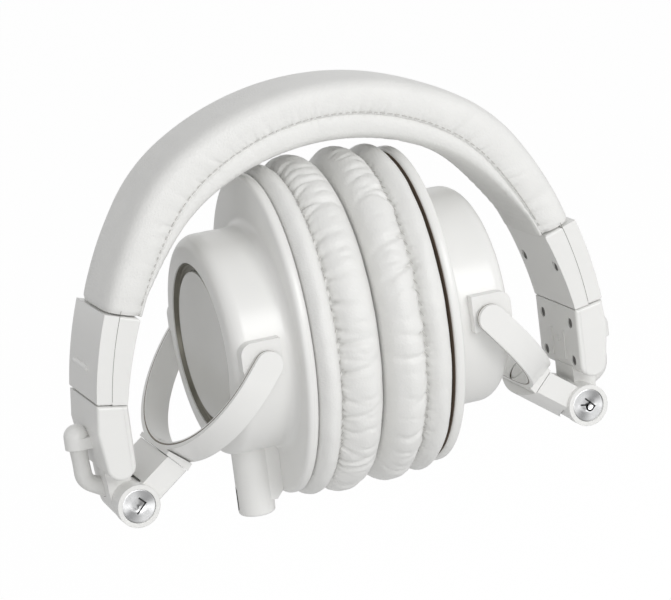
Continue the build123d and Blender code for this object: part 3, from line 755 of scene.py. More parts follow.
# ------------------------------------------------------------------------------------ ear pads
@dataclass
class EarPad:
    """A soft ring in two rolls, sewn together along a gathered seam."""

    side: Side
    half_depth: float = 43.5 * MM
    half_height: float = 51.5 * MM
    seams: tuple = (14.1, 12.7)
    backs: tuple = (21.25, 20.6)
    valley: float = 14.0
    behind: float = 6.55
    around: int = 260
    across: int = 84
    detail: tuple = (3, 2)
    profile: tuple = ((19.4, -20.3), (14.0, -20.5), (7.0, -20.2), (3.0, -18.9), (0.95, -16.0), (0.35, -12.5),
                      (0.3, -9.0), (0.65, -5.8), (2.2, -2.3), (5.0, -0.5), (8.2, -0.3), (11.0, -1.2),
                      (13.0, -2.7), (13.7, -4.0), (14.0, -5.0), (14.3, -4.0), (14.9, -2.5), (16.2, -1.3),
                      (17.8, -0.95), (19.2, -1.6), (20.2, -3.1), (20.5, -5.4), (20.55, -9.0), (20.5, -19.4))

    def height(self) -> float:
        """Height of the ear cups' centre."""
        low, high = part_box(f"ear_pad_{self.side.word}")
        return (low.z + high.z) / 2

    def back(self) -> float:
        """Depth of the pad's back, in millimetres: the right pad stands off its housing by a groove."""
        return self.side.pick(*self.backs)

    def seam_at(self) -> float:
        """Depth of this side's seam, in millimetres from the plane between the pads."""
        return self.side.pick(*self.seams)

    def outline(self) -> np.ndarray:
        """The pad's section: depth and offset from the outer oval, in metres."""
        knots = []
        for x, d in self.profile:
            share = self.seam_at() / self.valley
            roll = (self.back() - self.seam_at()) / self.behind
            x = x * share if x <= self.valley else self.seam_at() + (x - self.valley) * roll
            knots.append((min(x, self.back()) * MM, d * MM))
        return spline(knots, self.across, closed=True)

    def skin(self, outline: np.ndarray, around: int) -> np.ndarray:
        """Lead a section round the pad's oval.

        Args:
            outline: The section's points.
            around: How many sections.

        Returns:
            The grid of points.
        """
        angles = full_turn(around)
        x = np.broadcast_to(outline[None, :, 0], (around, len(outline))) * self.side.value
        y = (self.half_depth + outline[None, :, 1]) * np.cos(angles)[:, None]
        z = (self.half_height + outline[None, :, 1]) * np.sin(angles)[:, None] + self.height()
        return np.stack([x, y, z], axis=2)

    def seam_length(self) -> float:
        """Length of the oval seam."""
        a, b = self.half_depth - 4.0 * MM, self.half_height - 4.0 * MM
        return math.pi * (3 * (a + b) - math.sqrt((3 * a + b) * (a + 3 * b)))

    def gathers(self, shape: tuple, walk: np.ndarray, seam: int) -> np.ndarray:
        """Depth of all the gathers on the skin.

        Args:
            shape: Rows and columns of the grid.
            walk: Distance along the section of each column.
            seam: The seam's column.

        Returns:
            A grid of depths; negative where the skin puffs out.
        """
        total = self.seam_length()
        rows = np.repeat((np.arange(shape[0]) / shape[0] * total)[:, None], shape[1], axis=1)
        front = np.repeat((walk[seam] - walk)[None, :], shape[0], axis=0)
        back = -front
        seed = self.side.pick(11, 23)
        pitch = self.side.pick(5.6, 8.0) * MM
        deep = Pleats(pitch, mm(0.5, 1.5), mm(5.0, 13.0), mm(0.4, 0.7), seed)
        puff = Pleats(pitch, mm(0.2, 0.6), mm(4.0, 9.0), mm(1.5, 2.6), seed + 3)
        fine = Pleats(2.1 * MM, mm(0.15, 0.55), mm(1.4, 4.2), mm(0.32, 0.5), seed + 1)
        rear = Pleats(1.9 * MM, mm(0.14, 0.42), mm(1.4, 4.0), mm(0.32, 0.5), seed + 2)
        loose = Pleats(5.0 * MM, mm(0.15, 0.55), mm(2.4, 3.8), mm(0.45, 0.8), seed + 4)
        sunk = deep.field(rows, front, total) + fine.field(rows, front, total)
        sunk = sunk - puff.field(rows, front, total)
        middle = np.abs(front - 9.0 * MM)
        sunk = sunk + loose.field(rows, middle, total) * (front > 0)
        sunk = sunk * np.clip((17 * MM - front) / (4 * MM), 0.0, 1.0)
        behind = rear.field(rows, back, total) * self.side.pick(0.35, 1.0)
        return sunk + behind * np.clip((8 * MM - back) / (3 * MM), 0.0, 1.0)

    def build(self) -> Piece:
        """Make the pad: fill the smooth skin out between its seams, then gather it."""
        outline = self.outline()
        points = Inflation(pressure=4.0, growth=0.014, limit=0.5 * MM, calm=3).fill(
            self.skin(outline, self.around), self.held_columns(outline), (True, True))
        points = finer(points, self.detail[0], 0, True)
        points = finer(points, self.detail[1], 1, True)
        steps = np.linalg.norm(np.diff(outline, axis=0), axis=1)
        walk = np.concatenate([[0.0], np.cumsum(steps)])
        walk = np.interp(np.arange(points.shape[1]) / self.detail[1], np.arange(self.across), walk)
        seam = self.seam_column(outline) * self.detail[1]
        points = sink(points, self.gathers(points.shape[:2], walk, seam), (True, True))
        least = 0.16 * MM
        points[:, :, 0] = self.side.value * np.maximum(points[:, :, 0] * self.side.value, least)
        piece = grid_mesh(f"pad_skin_{self.side.word}", points, True, True)
        finish(piece, Paint.SKIN, self.side.body("cup"))
        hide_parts(f"ear_pad_{self.side.word}")
        return piece

    def seam_column(self, outline: np.ndarray) -> int:
        """Column of the section at the bottom of the seam's valley."""
        far = np.abs(outline[:, 0] - self.seam_at() * MM) + np.abs(outline[:, 1] + 5.0 * MM)
        return int(np.argmin(far))

    def held_columns(self, outline: np.ndarray) -> list[int]:
        """Columns of the grid that the seam, the ear side and the base plate hold."""
        depth = outline[:, 0]
        base = [j for j in range(self.across) if depth[j] > (self.back() - 0.4) * MM]
        face = [j for j in range(self.across) if depth[j] < 0.7 * MM]
        return sorted({self.seam_column(outline), *base, *face})

    def gasket(self) -> Piece:
        """Make the dark ring of painted shade that lines the groove between the pad and the housing."""
        # Painted shade: a dark brown ring in the pad's groove; on the left it sits further in, where it
        # stays out of sight.
        low = self.side.pick(5.6, 3.6)
        bed = self.back() + 0.1
        section = np.array([(bed, -8.6), (bed, -7.6), (21.37, -7.2), (21.38, -low - 0.15), (21.41, -low),
                            (21.46, -low), (21.46, -8.6)]) * MM
        piece = grid_mesh(f"pad_gasket_{self.side.word}", self.skin(section, 240), True, True)
        return finish(piece, Paint.GASKET, self.side.body("cup"))

    def stitches(self) -> Piece:
        """Make the stitches that close the gathered seam, slanting across its valley."""
        count = 96
        spans = []
        for i in range(count):
            ends = []
            for share, depth, drop in ((-0.3, -0.5, 4.0), (0.3, 0.6, 3.9)):
                turn = 2 * math.pi * (i + share) / count
                x = (self.seam_at() + depth) * MM * self.side.value
                y = (self.half_depth - drop * MM) * math.cos(turn)
                z = (self.half_height - drop * MM) * math.sin(turn) + self.height()
                ends.append(np.array([x, y, z]))
            spans.append(tuple(ends))
        piece = stitch_row(f"pad_stitches_{self.side.word}", spans, 0.17 * MM)
        return finish(piece, Paint.THREAD, self.side.body("cup"))


# ------------------------------------------------------------------------------------ headband
@dataclass(frozen=True)
class Arch:
    """A symmetric arch of three tangent arcs a side; headings are degrees below level."""

    top: float
    radii: tuple
    turns: tuple

    def point(self, heading: float) -> tuple[float, float]:
        """Point (x, z) on the arch where it heads that far down, measured from the cups' centre."""
        x, z = 0.0, self.top - self.radii[0]
        size = abs(heading)
        arc = sum(size > turn for turn in self.turns)
        for i in range(arc):
            step = self.radii[i] - self.radii[i + 1]
            x += step * math.sin(math.radians(self.turns[i]))
            z += step * math.cos(math.radians(self.turns[i]))
        side = 1 if heading >= 0 else -1
        reach = self.radii[arc]
        return side * (x + reach * math.sin(math.radians(size))), z + reach * math.cos(math.radians(size))


@dataclass
class Headband:
    """The padded sleeve over the spring and the cushion sewn under it."""

    outer: Arch = Arch(74.3 * MM, (87 * MM, 52.5 * MM, 123 * MM), (30.7, 56.1))
    inner: Arch = Arch(63.6 * MM, (69.4 * MM, 48 * MM, 128 * MM), (33.0, 54.6))
    lining: Arch = Arch(55.3 * MM, (75 * MM, 52 * MM, 200 * MM), (27.0, 50.0))
    outer_end: float = 70.2
    inner_end: float = 66.95
    along: int = 280
    around: int = 72
    detail: tuple = (4, 2)
    cushion_least: float = 1.3 * MM
    search: float = 14 * MM
    filling: Inflation = Inflation(pressure=2.5, growth=0.002, limit=0.25 * MM, calm=8)
    sleeve_section: tuple = ((0.0, 0.0), (6.0, 0.06), (10.0, 0.3), (12.8, 1.05), (14.4, 2.5), (15.1, 4.6),
                             (15.25, 6.8), (14.9, 8.8), (14.1, 10.2), (13.2, 10.75), (9.0, 10.6),
                             (0.0, 10.6))
    cushion_section: tuple = ((0.0, 0.0), (9.0, 0.0), (12.4, 0.01), (13.4, 0.12), (13.7, 0.4),
                              (13.0, 0.68), (11.2, 0.88), (8.0, 0.97), (0.0, 1.0))

    def base(self) -> float:
        """Height of the ear cups' centre."""
        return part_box("headband_sleeve")[1].z - self.outer.top

    def stations(self) -> list[tuple[np.ndarray, np.ndarray, float]]:
        """The band's cross lines from left to right.

        Returns:
            For each one the outer point, the unit vector inwards and the thickness of the sleeve.
        """
        made = []
        for share in np.linspace(-1.0, 1.0, self.along):
            a = np.array(self.outer.point(share * self.outer_end))
            b = np.array(self.inner.point(share * self.inner_end))
            length = float(np.linalg.norm(b - a))
            made.append((a, (b - a) / length, length))
        return made

    def cushion_depths(self, stations: list) -> list[float]:
        """Thickness of the cushion under each cross line."""
        curve = np.array([self.lining.point(h) for h in np.linspace(-86, 86, 900)])
        made = []
        for start, inward, thick in stations:
            seat = start + inward * thick
            rel = curve - seat
            gap = np.abs(rel[:, 0] * inward[1] - rel[:, 1] * inward[0])
            reach = rel @ inward
            gap = np.where(np.abs(reach) < self.search, gap, 1.0)
            depth = reach[int(np.argmin(gap))]
            made.append(max(float(depth), self.cushion_least))
        return made

    def loop(self, section: tuple) -> np.ndarray:
        """A closed cross section from its front half: (y, depth) pairs in millimetres."""
        half = [(-y, d) for y, d in section]
        back = [(y, d) for y, d in reversed(section[1:-1])]
        return spline(half + back, self.around, closed=True)

    def walk(self, stations: list) -> np.ndarray:
        """Distance along the band of each cross line."""
        seats = np.array([a + n * t for a, n, t in stations])
        return np.concatenate([[0.0], np.cumsum(np.linalg.norm(np.diff(seats, axis=0), axis=1))])

    def place(self, loop: np.ndarray, reach: Callable[[float, float], np.ndarray]) -> np.ndarray:
        """Sweep a section along the band.

        Args:
            loop: The section: y in millimetres and a depth that reach understands.
            reach: Turns a sleeve thickness and a cushion depth into each point's depth.

        Returns:
            The grid of points.
        """
        stations = self.stations()
        depths = self.cushion_depths(stations)
        points = np.empty((len(stations), len(loop), 3))
        for i, ((start, inward, thick), depth) in enumerate(zip(stations, depths)):
            d = reach(thick, depth)
            points[i, :, 0] = start[0] + inward[0] * d
            points[i, :, 1] = loop[:, 0] * MM
            points[i, :, 2] = start[1] + inward[1] * d + self.base()
        return points

    def dense(self, points: np.ndarray, values: np.ndarray) -> tuple[np.ndarray, np.ndarray]:
        """Refine a swept skin together with a value for each of its columns.

        Args:
            points: The grid.
            values: One value a column.

        Returns:
            The finer grid and the finer values.
        """
        points = finer(points, self.detail[0], 0, False)
        points = finer(points, self.detail[1], 1, True)
        columns = np.arange(points.shape[1]) / self.detail[1]
        values = np.interp(columns, np.arange(len(values) + 1), np.append(values, values[0]))
        return points, values

    def sleeve(self) -> Piece:
        """Make the sleeve: crowned outside, flat sides with puckers above the seam, tucked ends."""
        loop = self.loop(self.sleeve_section)
        deepest = 10.6
        points = self.place(loop, lambda thick, _: loop[:, 1] / deepest * thick)
        seam = [j for j in range(len(loop)) if loop[j, 1] > 10.2]
        points = self.filling.fill(points, seam, (False, True), 3)
        points, away = self.dense(points, (deepest - loop[:, 1]) * MM)
        walk = self.spacing(points)
        total = walk[-1]
        rows = np.repeat(walk[:, None], len(away), axis=1)
        above = np.repeat(away[None, :], len(walk), axis=0)
        sides = np.clip((np.abs(points[:, :, 1]) / MM - 11.0) / 2.0, 0.0, 1.0)
        fine = Pleats(2.2 * MM, mm(0.06, 0.3), mm(1.5, 4.6), mm(0.32, 0.5), 5)
        long = Pleats(6.5 * MM, mm(0.12, 0.5), mm(3.5, 8.0), mm(0.6, 1.2), 6)
        heavier = 0.55 + 0.65 * np.clip(points[:, :, 0] / (60 * MM) + 0.3, 0.0, 1.0)
        sunk = (fine.field(rows, above, total) + long.field(rows, above, total)) * sides * heavier
        ends = np.minimum(walk, total - walk)
        tuck = 0.5 * MM * np.exp(-(ends / (0.8 * MM)) ** 2) + 0.2 * MM * np.exp(-(ends / (4.0 * MM)) ** 2)
        points = sink(points, sunk + tuck[:, None], (False, True))
        piece = grid_mesh("band_sleeve_skin", points, False, True, caps=True)
        finish(piece, Paint.SKIN, "headband")
        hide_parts("headband_sleeve")
        return piece

    def spacing(self, points: np.ndarray) -> np.ndarray:
        """Distance along the band of each row of a grid."""
        middle = points.mean(axis=1)
        return np.concatenate([[0.0], np.cumsum(np.linalg.norm(np.diff(middle, axis=0), axis=1))])

    def cushion(self) -> Piece:
        """Make the cushion: a soft roll under the crown that thins towards the end caps."""
        loop = self.loop(self.cushion_section)
        lift = 0.35 * MM
        points = self.place(loop, lambda thick, depth: thick - lift + loop[:, 1] * (depth + lift))
        seam = [j for j in range(len(loop)) if loop[j, 1] < 0.08]
        points = self.filling.fill(points, seam, (False, True), 2)
        points, share = self.dense(points, loop[:, 1])
        walk = self.spacing(points)
        rows = np.repeat(walk[:, None], len(share), axis=1)
        below = np.repeat((share * 8.0 * MM)[None, :], len(walk), axis=0)
        sides = np.clip((np.abs(points[:, :, 1]) / MM - 9.0) / 3.0, 0.0, 1.0)
        puckers = Pleats(3.0 * MM, mm(0.05, 0.22), mm(1.2, 3.4), mm(0.35, 0.6), 9)
        points = sink(points, puckers.field(rows, below, walk[-1]) * sides, (False, True))
        piece = grid_mesh("band_cushion_skin", points, False, True, caps=True)
        finish(piece, Paint.SKIN, "headband")
        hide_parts("head_cushion")
        return piece

    def stitches(self) -> Piece:
        """Make the stitches that join the cushion to the sleeve, on both long sides."""
        stations = self.stations()
        walk = self.walk(stations)
        pitch, thread = 2.2 * MM, 0.2 * MM
        made = []
        for side in (-1, 1):
            for place in np.arange(4 * MM, walk[-1] - 4 * MM, pitch):
                ends = []
                for at in (place - 0.36 * pitch, place + 0.36 * pitch):
                    i = int(np.searchsorted(walk, at))
                    start, inward, thick = stations[i]
                    spot = start + inward * (thick - 0.55 * MM)
                    ends.append(np.array([spot[0], side * 14.15 * MM, spot[1] + self.base()]))
                made.append((ends[0], ends[1]))
        piece = stitch_row("band_stitches", made, thread)
        return finish(piece, Paint.THREAD, "headband")


def stitch_row(name: str, spans: list, radius: float) -> Piece:
    """Make short rounded threads between pairs of points.

    Args:
        name: The piece's name.
        spans: Pairs of end points.
        radius: Radius of the thread.

    Returns:
        One object that holds them all.
    """
    vertices, faces = [], []
    shares = ((0.0, 0.25), (0.12, 0.8), (0.5, 1.0), (0.88, 0.8), (1.0, 0.25))
    for a, b in spans:
        axis = Vector(b - a).normalized()
        side = axis.orthogonal().normalized()
        other = axis.cross(side)
        first = len(vertices)
        for share, size in shares:
            middle = Vector(a + (b - a) * share)
            for k in range(6):
                turn = k * math.pi / 3
                offset = side * math.cos(turn) + other * math.sin(turn)
                vertices.append(tuple(middle + offset * radius * size))
        for ring in range(len(shares) - 1):
            for k in range(6):
                low = first + ring * 6
                faces.append((low + k, low + (k + 1) % 6, low + 6 + (k + 1) % 6, low + 6 + k))
        faces.append(tuple(first + k for k in reversed(range(6))))
        faces.append(tuple(first + (len(shares) - 1) * 6 + k for k in range(6)))
    made = plain_mesh(name, vertices, faces)
    made.data.shade_smooth()
    return made


# ------------------------------------------------------------------------------------ hard parts
@dataclass
class FaceRing:
    """The dark lining of the recess in a cup's face: a floor ring and the wall around it."""

    side: Side
    radius: float = 25.3 * MM
    width: float = 2.6 * MM

    def build(self) -> Piece:
        """Turn the lining's section about the cup's axis."""
        low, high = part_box(f"cap_ring_{self.side.word}")
        floor = min(abs(low.x), abs(high.x))
        height = (low.z + high.z) / 2
        face = max(abs(corner.x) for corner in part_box(f"cup_housing_{self.side.word}"))
        r, w = self.radius, self.width
        lip = face - 0.3 * MM
        section = np.array([(floor, r - w), (floor, r), (face - 0.5 * MM, r), (lip, r - 0.1 * MM),
                            (lip, r - 0.25 * MM), (floor + 1.1 * MM, r - 0.55 * MM),
                            (floor + 0.75 * MM, r - 0.9 * MM), (floor + 0.6 * MM, r - w)])
        angles = full_turn(160)
        x = np.broadcast_to(section[None, :, 0], (160, len(section))) * self.side.value
        y = section[None, :, 1] * np.cos(angles)[:, None]
        z = section[None, :, 1] * np.sin(angles)[:, None] + height
        piece = grid_mesh(f"face_ring_{self.side.word}", np.stack([x, y, z], axis=2), True, True)
        piece.data.shade_flat()
        finish(piece, Paint.RING, self.side.body("cup"))
        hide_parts(f"cap_ring_{self.side.word}")
        return piece


@dataclass
class HingeDisc:
    """The turned metal disc of a fold hinge with its engraved side letter."""

    side: Side
    letter_height: float = 3.9 * MM
    stroke: float = 0.5 * MM
    fold: float = 135.0
    sides: tuple = ((0, 1, 2, 3), (7, 6, 5, 4), (0, 4, 5, 1), (1, 5, 6, 2), (2, 6, 7, 3), (3, 7, 4, 0))

    def centre(self) -> Vector:
        """Centre of the disc's front."""
        low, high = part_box(f"hinge_disc_{self.side.word}")
        return Vector(((low.x + high.x) / 2, low.y, (low.z + high.z) / 2))

    def build(self) -> Piece:
        """Make the disc: a shallow dished face with a turned lip."""
        low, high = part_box(f"hinge_disc_{self.side.word}")
        radius = (high.x - low.x) / 2
        thick = high.y - low.y
        section = [(0.02 * MM, 0.0), (radius * 0.55, 0.02 * MM), (radius * 0.86, 0.04 * MM),
                   (radius * 0.93, 0.0), (radius - 0.12 * MM, 0.02 * MM), (radius, 0.15 * MM),
                   (radius, thick), (0.02 * MM, thick)]
        angles = full_turn(96)
        shape = np.array(section)
        x = shape[None, :, 0] * np.cos(angles)[:, None]
        z = shape[None, :, 0] * np.sin(angles)[:, None]
        y = np.broadcast_to(shape[None, :, 1], x.shape)
        piece = grid_mesh(f"disc_face_{self.side.word}", np.stack([x, y, z], axis=2), True, True)
        piece.location = self.centre()
        finish(piece, Paint.DISC, self.side.body("neck"))
        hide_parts(f"hinge_disc_{self.side.word}")
        return piece

    def strokes(self) -> list[list[tuple[float, float]]]:
        """The letter's strokes in units of its height, about its middle."""
        if self.side is Side.LEFT:
            return [[(-0.26, 0.5), (-0.26, -0.5), (0.34, -0.5)]]
        half = np.linspace(0, math.pi, 9)
        bowl = [(-0.28 + 0.3 + 0.27 * math.sin(a), 0.23 + 0.27 * math.cos(a)) for a in half]
        return [[(-0.28, -0.5), (-0.28, 0.5), *bowl, (-0.28, -0.04)], [(0.02, -0.04), (0.32, -0.5)]]

    def letter(self) -> Piece:
        """Make the letter, upright once the cup hangs open."""
        turn = math.radians(self.fold) * -self.side.value
        spot = self.centre()
        vertices, faces = [], []
        for line in self.strokes():
            for (x0, z0), (x1, z1) in zip(line, line[1:]):
                a = Vector((x0, z0)) * self.letter_height
                b = Vector((x1, z1)) * self.letter_height
                along = (b - a).normalized() * self.stroke / 2
                across = Vector((-along.y, along.x))
                corners = [a - along - across, b + along - across, b + along + across, a - along + across]
                first = len(vertices)
                for depth in (-0.03 * MM, 0.1 * MM):
                    for corner in corners:
                        x = corner.x * math.cos(turn) - corner.y * math.sin(turn)
                        z = corner.x * math.sin(turn) + corner.y * math.cos(turn)
                        vertices.append((spot.x + x, spot.y + depth, spot.z + z))
                faces += [tuple(first + k for k in quad) for quad in self.sides]
        piece = plain_mesh(f"side_letter_{self.side.word}", vertices, faces)
        return finish(piece, Paint.BLACK, self.side.body("neck"))


@dataclass
class CableSleeve:
    """The soft sleeve that carries the wires from the slider's hood round into the fold hinge."""

    side: Side
    radius: float = 2.7 * MM
    turn: tuple = (-0.6 * MM, -12.5 * MM)
    end: tuple = (-7.4 * MM, -16.1 * MM)
    bend: float = 4.5 * MM
    along: int = 70
    around: int = 40

    def path(self) -> np.ndarray:
        """Centre line in the plane of the band, from the hood to the hinge."""
        low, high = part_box(f"cable_sleeve_{self.side.word}")
        top = np.array([max(abs(low.x), abs(high.x)) - self.radius, high.z])
        turn, end = top + np.array(self.turn), top + np.array(self.end)
        into, out = turn - top, end - turn
        into, out = into / np.linalg.norm(into), out / np.linalg.norm(out)
        angle = math.acos(float(np.clip(into @ out, -1.0, 1.0)))
        cut = self.bend * math.tan(angle / 2)
        start, stop = turn - into * cut, turn + out * cut
        arc = [(1 - t) ** 2 * start + 2 * t * (1 - t) * turn + t * t * stop for t in np.linspace(0, 1, 9)]
        knots = [top, (top + start) / 2, *arc, (stop + end) / 2, end]
        return spline([tuple(k) for k in knots], self.along)

    def build(self) -> Piece:
        """Sweep the sleeve: a collar at the hood, a waist and a slight flattening round the bend."""
        line = self.path()
        slope = np.gradient(line, axis=0)
        slope /= np.linalg.norm(slope, axis=1, keepdims=True)
        share = np.linspace(0.0, 1.0, self.along)
        waist = 1.0 - 0.05 * np.exp(-((share - 0.32) / 0.16) ** 2)
        bent = 0.05 * np.exp(-((share - 0.68) / 0.12) ** 2)
        turns = full_turn(self.around)
        parting = 1.0 - 0.012 * np.exp(-(np.sin(turns) / 0.08) ** 2)
        y = self.radius * waist[:, None] * parting[None, :] * np.cos(turns)[None, :]
        d = self.radius * (waist - bent)[:, None] * parting[None, :] * np.sin(turns)[None, :]
        points = np.empty((self.along, self.around, 3))
        points[:, :, 0] = (line[:, 0:1] + slope[:, 1:2] * d) * self.side.value
        points[:, :, 1] = y
        points[:, :, 2] = line[:, 1:2] - slope[:, 0:1] * d
        piece = grid_mesh(f"cable_skin_{self.side.word}", points, False, True, caps=True)
        finish(piece, Paint.SLEEVE, self.side.body("slider"))
        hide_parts(f"cable_sleeve_{self.side.word}")
        return piece


@dataclass
class PadScreen:
    """The dark cloth stretched over a driver's grille inside the pad's opening."""

    side: Side
    tuck: float = 0.55
    ridge: float = 0.12
    rows: int = 26
    around: int = 96

    def build(self) -> Piece:
        """Shape the cloth: crowned towards the ear, with a faint ridge over the grille's rim."""
        low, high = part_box(f"pad_screen_{self.side.word}")
        near, far = sorted((abs(low.x), abs(high.x)))
        middle = (low + high) / 2
        reach = (high - low) / 2
        share = np.linspace(0.004, 1.0, self.rows)
        crown = self.tuck * share ** 2 + self.ridge * (1.0 - np.exp(-((share - 0.7) / 0.05) ** 2))
        front = near + (far - near) * np.minimum(crown, 0.9)
        shares = np.concatenate([share, share[::-1]])
        depth = np.concatenate([front, np.full(self.rows, far)])
        turns = full_turn(self.around)
        points = np.empty((2 * self.rows, self.around, 3))
        points[:, :, 0] = depth[:, None] * self.side.value
        points[:, :, 1] = middle.y + reach.y * shares[:, None] * np.cos(turns)[None, :]
        points[:, :, 2] = middle.z + reach.z * shares[:, None] * np.sin(turns)[None, :]
        piece = grid_mesh(f"screen_skin_{self.side.word}", points, False, True, caps=True)
        finish(piece, Paint.SCREEN, self.side.body("cup"))
        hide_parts(f"pad_screen_{self.side.word}")
        return piece


@dataclass
class CapSeam:
    """The parting line between the two shells of an end cap, on its front and back faces, drawn as a dark
    ribbon of painted shade.
    """

    side: Side
    depth: float = 4.7 * MM
    first: float = 69.6
    last: float = 82.6
    width: float = 0.16 * MM
    proud: float = 0.03 * MM

    def build(self, band: Headband) -> Piece:
        """Lay a narrow ribbon along the line on both faces.

        Args:
            band: The headband whose outer curve the line follows.

        Returns:
            The ribbons as one piece.
        """
        vertices, faces = [], []
        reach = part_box(f"end_cap_outer_{self.side.word}")[1].y
        for face in (-1, 1):
            first = len(vertices)
            count = 40
            for heading in np.linspace(self.first, self.last, count):
                x, z = band.outer.point(heading)
                back = Vector((-math.sin(math.radians(heading)), -math.cos(math.radians(heading))))
                for inset in (-self.width / 2, self.width / 2):
                    for lift in (-self.proud, self.proud):
                        d = self.depth + inset
                        vertices.append((self.side.value * (x + back.x * d), face * (reach + lift),
                                         z + back.y * d + band.base()))
            for i in range(count - 1):
                low = first + i * 4
                for k, j in ((0, 1), (1, 3), (3, 2), (2, 0)):
                    faces.append((low + k, low + j, low + 4 + j, low + 4 + k))
            faces += [(first, first + 2, first + 3, first + 1),
                      tuple(first + (count - 1) * 4 + k for k in (0, 1, 3, 2))]
        # Painted shade: the ribbon's dark grey stands in for the shade in the parting line.
        piece = plain_mesh(f"cap_seam_{self.side.word}", vertices, faces)
        outward(piece)
        return finish(piece, Paint.SHADOW, "headband")


@dataclass
class SwivelWasher:
    """The thin dark washer that fills the running gap between neck and yoke, painting the shade in the
    joint.
    """

    side: Side
    width: float = 26.0 * MM
    height: float = 6.6 * MM
    thick: float = 0.15 * MM

    def build(self, joints: list) -> Piece:
        """Lay the washer on the plane that the swivel turns in.

        Args:
            joints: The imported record's joints.

        Returns:
            The washer.
        """
        joint = next(j for j in joints if j["name"] == f"{self.side.word}_swivel")
        axis = Vector(joint["axis"]).normalized()
        across = Vector((0.0, 1.0, 0.0))
        up = axis.cross(across).normalized()
        rows = []
        for lift, grow in ((-0.5, 0.985), (-0.3, 1.0), (0.3, 1.0), (0.5, 0.985)):
            ring = []
            for turn in full_turn(64):
                c, n = math.cos(turn), math.sin(turn)
                y = math.copysign(abs(c) ** 0.25, c) * self.width / 2 * grow
                z = math.copysign(abs(n) ** 0.25, n) * self.height / 2 * grow
                ring.append(tuple(Vector(joint["pos_m"]) + across * y + up * z + axis * lift * self.thick))
            rows.append(ring)
        # Painted shade: the washer's dark grey stands in for the shade inside the joint.
        piece = grid_mesh(f"swivel_washer_{self.side.word}", np.array(rows), False, True, caps=True)
        return finish(piece, Paint.SHADOW, self.side.body("neck"))


@dataclass
class SocketSlot:
    """The catch slot on the outer side of the cable socket's barrel, drawn as a black plate of painted
    shade.
    """

    radius: float = 5.6 * MM
    low: float = 1.4 * MM
    high: float = 8.6 * MM
    spread: float = 14.0
    facing: float = 168.0

    def build(self) -> Piece:
        """Bend a thin plate to the barrel's side."""
        low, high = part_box("socket_liner")
        x0, y0 = (low.x + high.x) / 2, (low.y + high.y) / 2
        rows = []
        round_off = 0.6 * MM
        for z, grow in ((self.low, 0.5), (self.low + round_off, 1.0), (self.high - round_off, 1.0),
                        (self.high, 0.5)):
            ring = []
            turns = [math.radians(self.facing + self.spread * grow * k) for k in (-1.0, -0.5, 0.0, 0.5, 1.0)]
            for r, order in ((self.radius + 0.04 * MM, turns), (self.radius - 0.3 * MM, turns[::-1])):
                ring += [(x0 + r * math.cos(t), y0 + r * math.sin(t), z) for t in order]
            rows.append(ring)
        # Painted shade: a black plate on the barrel stands in for the shade inside the slot.
        piece = grid_mesh("socket_slot", np.array(rows), False, True, caps=True)
        return finish(piece, Paint.BLACK, "left_cup_unit")


@dataclass
class Moulding:
    """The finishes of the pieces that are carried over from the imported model."""

    finishes: dict = field(default_factory=lambda: {
        Paint.GLOSS: ("end_cap_outer", "end_cap_inner", "slider_block", "slider_cover", "neck",
                      "swivel_screw", "yoke", "cup_housing"),
        Paint.STEEL: ("spring_band", "detent_spring", "slider_rail", "hinge_pin", "yoke_pins",
                      "driver_magnet"),
        Paint.BLACKENED: ("end_cap_screws", "slider_screws", "baffle_screws"),
        Paint.SKIN: ("ear_pad", "headband_sleeve", "head_cushion"),
        Paint.BLACK: ("baffle", "driver_frame"), Paint.SOCKET: ("socket_liner",),
        Paint.SLEEVE: ("cable_sleeve",), Paint.CORE: ("yoke_core",), Paint.PLATE: ("cap_plate",),
        Paint.FILM: ("driver_dome",), Paint.FELT: ("damping_felt",), Paint.SCREEN: ("pad_screen",),
        Paint.DISC: ("hinge_disc",), Paint.RING: ("cap_ring",)})

    def dress(self, nodes: dict) -> None:
        """Give every carried-over node its finish.

        Args:
            nodes: The frame's nodes by name.
        """
        paints = {stem: paint for paint, stems in self.finishes.items() for stem in stems}
        for name, piece in nodes.items():
            stem = name.removesuffix("_left").removesuffix("_right")
            piece.data.materials.clear()
            piece.data.materials.append(paints[stem].material())


